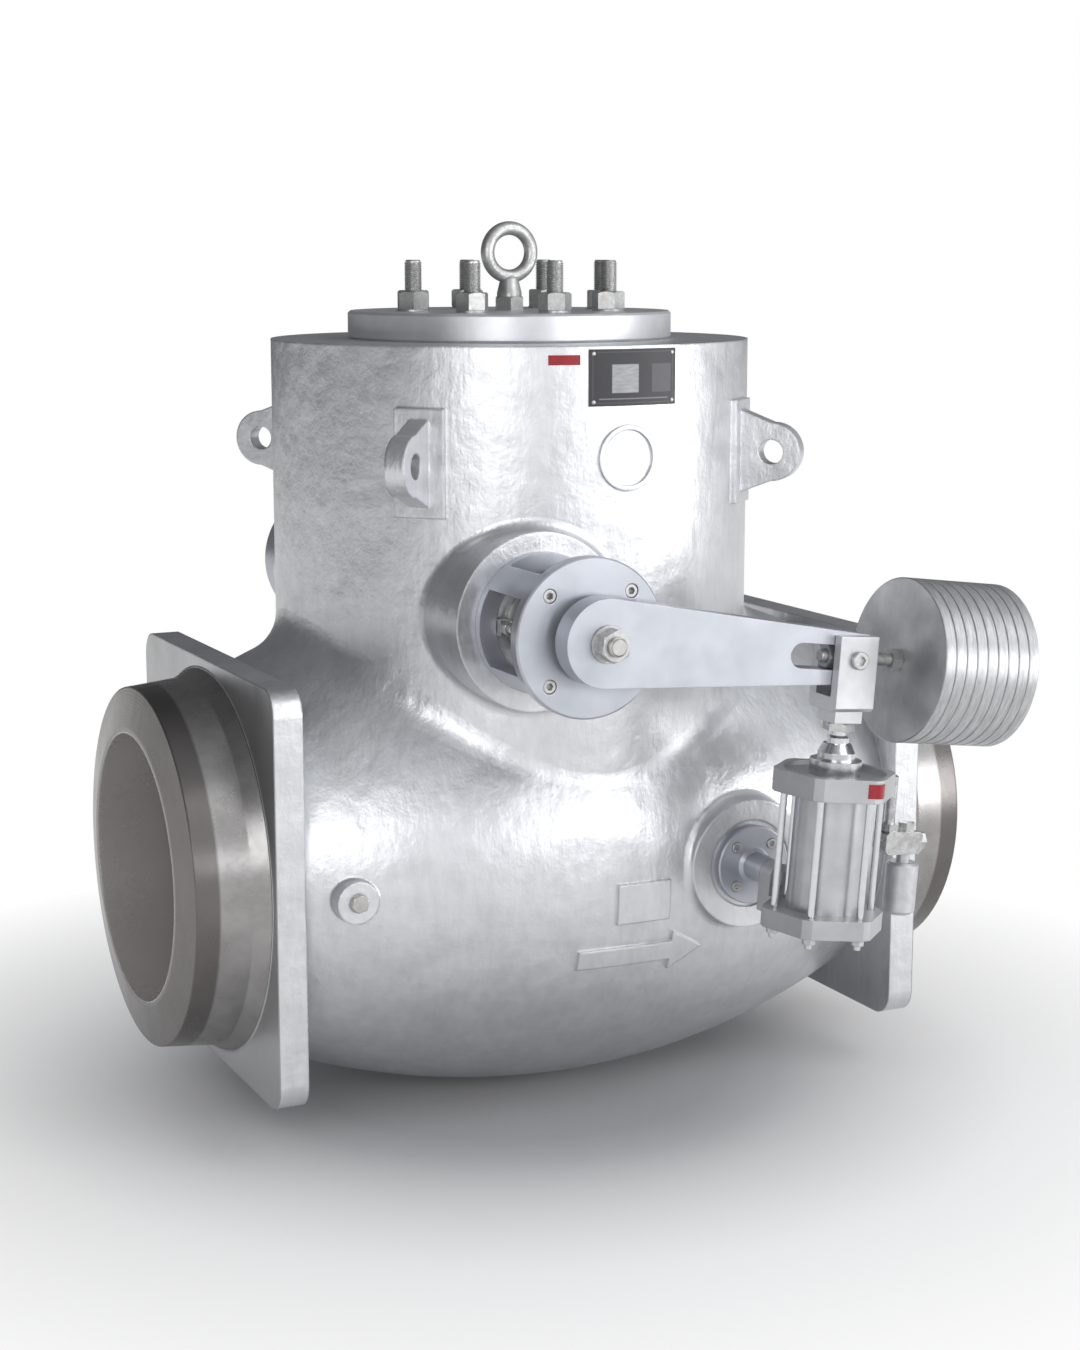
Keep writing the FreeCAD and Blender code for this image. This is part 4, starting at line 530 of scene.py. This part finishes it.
def thread(form, base, crest, start, stop, pitch, steps=20):
    """A screw thread's ridge wound up a rod along a base frame's Z axis, in steps per turn."""
    root = crest - pitch * 0.55
    section = [(root, -0.40), (root, 0.40), (crest, 0.10), (crest, -0.10)]
    face = form.faces.new(drawn(form, base, [(radius, 0, start + rise * pitch) for radius, rise in section]))
    axis = base.col[2].to_3d()
    turns = (stop - start) / pitch
    count = int(turns * steps)
    bmesh.ops.spin(form, geom=[face], cent=base.translation, axis=axis, dvec=axis * (stop - start) / count,
                   angle=2 * math.pi * turns, steps=count)


def stretched(form, faces, travel):
    """Extrude faces along a vector, and return the faces at the far end."""
    grown = bmesh.ops.extrude_face_region(form, geom=faces)["geom"]
    moved = [item for item in grown if isinstance(item, bmesh.types.BMVert)]
    bmesh.ops.translate(form, verts=moved, vec=travel)
    return [item for item in grown if isinstance(item, bmesh.types.BMFace)]


def bonnet_studs(form):
    """Eight studs through the retainer, threaded above their nuts."""
    profile = [(0, 0.804), (0.015, 0.804), (0.015, 0.968), (0.0132, 0.970), (0.0132, 1.0230),
               (0.0118, 1.0248), (0, 1.0248)]
    for place in range(8):
        base = NECK_UP @ turn(45 * place, "Z") @ shift(STUD_CIRCLE, 0, 0)
        turned(form, profile, base, steps=24)
        thread(form, base, crest=0.015, start=0.9690, stop=1.0215, pitch=0.0035)


def weight_rod(form):
    """Rod that carries the weights, threaded from end to end."""
    profile = [(0, 0.396), (0.0094, 0.396), (0.0105, 0.3975), (0.0105, 0.7815), (0.0094, 0.783),
               (0, 0.783)]
    turned(form, profile, LEVER_OUT, steps=24)
    thread(form, LEVER_OUT, crest=0.012, start=0.3985, stop=0.7805, pitch=0.003, steps=18)


def shaft_end_thread(form):
    """Thread on the end of the hinge shaft, outside its nut."""
    thread(form, SHAFT_OUT, crest=0.0156, start=0.7100, stop=0.7170, pitch=0.0025)


def tie_rod_threads(form):
    """Threads on the tips of the tie rods, under their nuts."""
    for place in range(6):
        base = CYLINDER_UP @ turn(44 + 60 * place, "Z") @ shift(TIE_ROD_CIRCLE, 0, 0)
        thread(form, base, crest=0.0064, start=-0.0800, stop=-0.0738, pitch=0.0015, steps=14)


def nameplate_rivets(form):
    """Round heads at the corners of the nameplate."""
    profile = [(0, 0), (0.0034, 0), (0.0033, 0.0007), (0.0025, 0.0014), (0.0012, 0.0018), (0, 0.0019)]
    for up in (-0.039, 0.039):
        for swing in (-10.2, 10.2):
            base = PLATE_SEAT @ turn(swing, "Z") @ shift(0.4240, 0, up) @ turn(90, "Y")
            turned(form, profile, base, steps=16)


def neck_tag(form):
    """Small bare red tag bent round the neck."""
    inner, outer, low, high = 0.4218, 0.4227, 0.8592, 0.8752
    base = NECK_UP @ turn(-106.4, "Z")
    face = form.faces.new(drawn(form, base, [(inner, 0, low), (outer, 0, low), (outer, 0, high),
                                             (inner, 0, high)]))
    bmesh.ops.spin(form, geom=[face], cent=base.translation, axis=(0, 0, 1), angle=math.radians(7.2), steps=6)


def cap_label(form):
    """Bare red label bent round a corner of the cylinder's top cap."""
    under, over, low, high = 0.0001, 0.0008, 0.173, 0.196
    start, long_side, short_side = 0.030, 0.0172, 0.009
    base = CYLINDER_UP @ turn(-106, "Z") @ shift(CAP_FLAT, 0, 0)
    side, axis = base.col[1].to_3d(), base.col[2].to_3d()
    face = form.faces.new(drawn(form, base, [(under, start, low), (over, start, low), (over, start, high),
                                             (under, start, high)]))
    last = stretched(form, [face], side * long_side)
    corner = base @ Vector((-CAP_CORNER, start + long_side, 0))
    bend = Matrix.Rotation(math.radians(60), 3, axis)
    bent = bmesh.ops.spin(form, geom=last, cent=corner, axis=axis, angle=math.radians(60), steps=6)
    last = [item for item in bent["geom_last"] if isinstance(item, bmesh.types.BMFace)]
    stretched(form, last, bend @ side * short_side)
    within = [face for face in form.faces if all(len(edge.link_faces) > 2 for edge in face.edges)]
    bmesh.ops.delete(form, geom=within, context="FACES_ONLY")


def pieces(plating):
    """Pieces that the render shows in more detail than the solids, or that only the render has."""
    new_piece("bonnet_stud_threads", bonnet_studs, plating, "valve", ["bonnet_studs"])
    new_piece("weight_rod_thread", weight_rod, plating, "lever_and_shaft", ["weight_rod"])
    new_piece("shaft_end_thread", shaft_end_thread, plating, "lever_and_shaft")
    new_piece("tie_rod_threads", tie_rod_threads, plating, "air_cylinder")
    new_piece("nameplate_rivets", nameplate_rivets, plating, "valve")
    red = small_finish("tag_red", (0.30, 0.008, 0.016), 0.40, spread=0.15)
    new_piece("neck_tag", neck_tag, red, "valve")
    new_piece("cap_label", cap_label, red, "air_cylinder")


def looking(name, data, place, aim):
    """A camera or lamp at a place, looking at a point."""
    item = bpy.data.objects.new(name, data)
    item.location = place
    item.rotation_euler = (Vector(aim) - Vector(place)).to_track_quat("-Z", "Y").to_euler()
    bpy.context.collection.objects.link(item)
    return item


def camera():
    """Camera at the photograph's viewing angle."""
    data = bpy.data.cameras.new("camera")
    data.sensor_fit = "VERTICAL"
    data.sensor_height = SENSOR_HEIGHT
    data.lens = LENS
    data.clip_end = 60
    bpy.context.scene.camera = looking("camera", data, CAMERA_PLACE, CAMERA_AIM)


def lamp(name, place, width, height, power):
    """A soft rectangular lamp that looks at the middle of the valve."""
    data = bpy.data.lights.new(name, "AREA")
    data.shape = "RECTANGLE"
    data.size = width
    data.size_y = height
    data.energy = power
    looking(name, data, place, LAMP_AIM)


def seen(finish):
    """Two masks: rays from the camera, and rays that metal or glass mirrors or passes on."""
    straight, glossy, through = (finish.node("ShaderNodeLightPath", output=f"Is {ray} Ray")
                                 for ray in ("Camera", "Glossy", "Transmission"))
    return straight, finish.larger(glossy, through)


def floor():
    """Floor under the valve that keeps its shadow, with a painted shadow: dark grey near the valve, pale
    further out and fading to white.
    """
    under = shift(NECK_X, 0, cad_box[0][2] - 0.001)
    mesh = bpy.data.meshes.new("floor")
    form = bmesh.new()
    bmesh.ops.create_grid(form, x_segments=1, y_segments=1, size=14, matrix=under)
    form.to_mesh(mesh)
    form.free()
    item = bpy.data.objects.new("floor", mesh)
    bpy.context.collection.objects.link(item)
    pale = new_finish("floor_with_painted_shadow", roughness=0.95)
    outward = pale.reach("Z", under)
    # Painted shadow: the floor's colour is dark grey close under the valve and pale further out, a pool of
    # shade that the barrel's underside also mirrors.
    pale.set("Base Color", pale.blend(outward.ramp(0.40, 0.95), (0.42, 0.42, 0.43), (0.93, 0.93, 0.935)))
    white = pale.node("ShaderNodeEmission", {"Color": (1, 1, 1, 1), "Strength": 1.0})
    lit = Value(pale, pale.shader.outputs[0])
    share = pale.larger(*seen(pale)) * outward.ramp(0.5, 1.6, 0.02, 1.0)
    both = pale.node("ShaderNodeMixShader", {0: share, 1: lit, 2: white})
    pale.feed(pale.tree.nodes["Material Output"].inputs["Surface"], both)
    mesh.materials.append(pale.owner)


def surround():
    """White past the valve, soft light from above, and what metal mirrors: pale in front, dim behind."""
    world = bpy.data.worlds.new("studio")
    bpy.context.scene.world = world
    sky = Finish(world, shader="Background")
    straight, mirrored = seen(sky)
    outward = sky.node("ShaderNodeTexCoord", output="Generated")
    front = sky.node("ShaderNodeVectorMath", {0: outward, 1: (0.60, -0.78, 0.15)}, output="Value",
                     operation="DOT_PRODUCT")
    up = sky.node("ShaderNodeSeparateXYZ", {0: outward}, output="Z")
    soft = up.ramp(0.0, 1.0, 0.17, 0.46)
    mirror = front.ramp(-0.22, 0.9, 0.12, 0.91)
    sky.set("Color", sky.blend(straight, (0.95, 0.97, 1.0), (1, 1, 1)))
    sky.set("Strength", soft + straight * (1 - soft) + mirrored * (mirror - soft))


def studio():
    floor()
    surround()
    for name, settings in LAMPS.items():
        lamp(name, *settings)
    bpy.context.scene.view_settings.view_transform = "Standard"


camera()
studio()
pieces(finishes())
for item in NODES.values():
    shade(item.data)
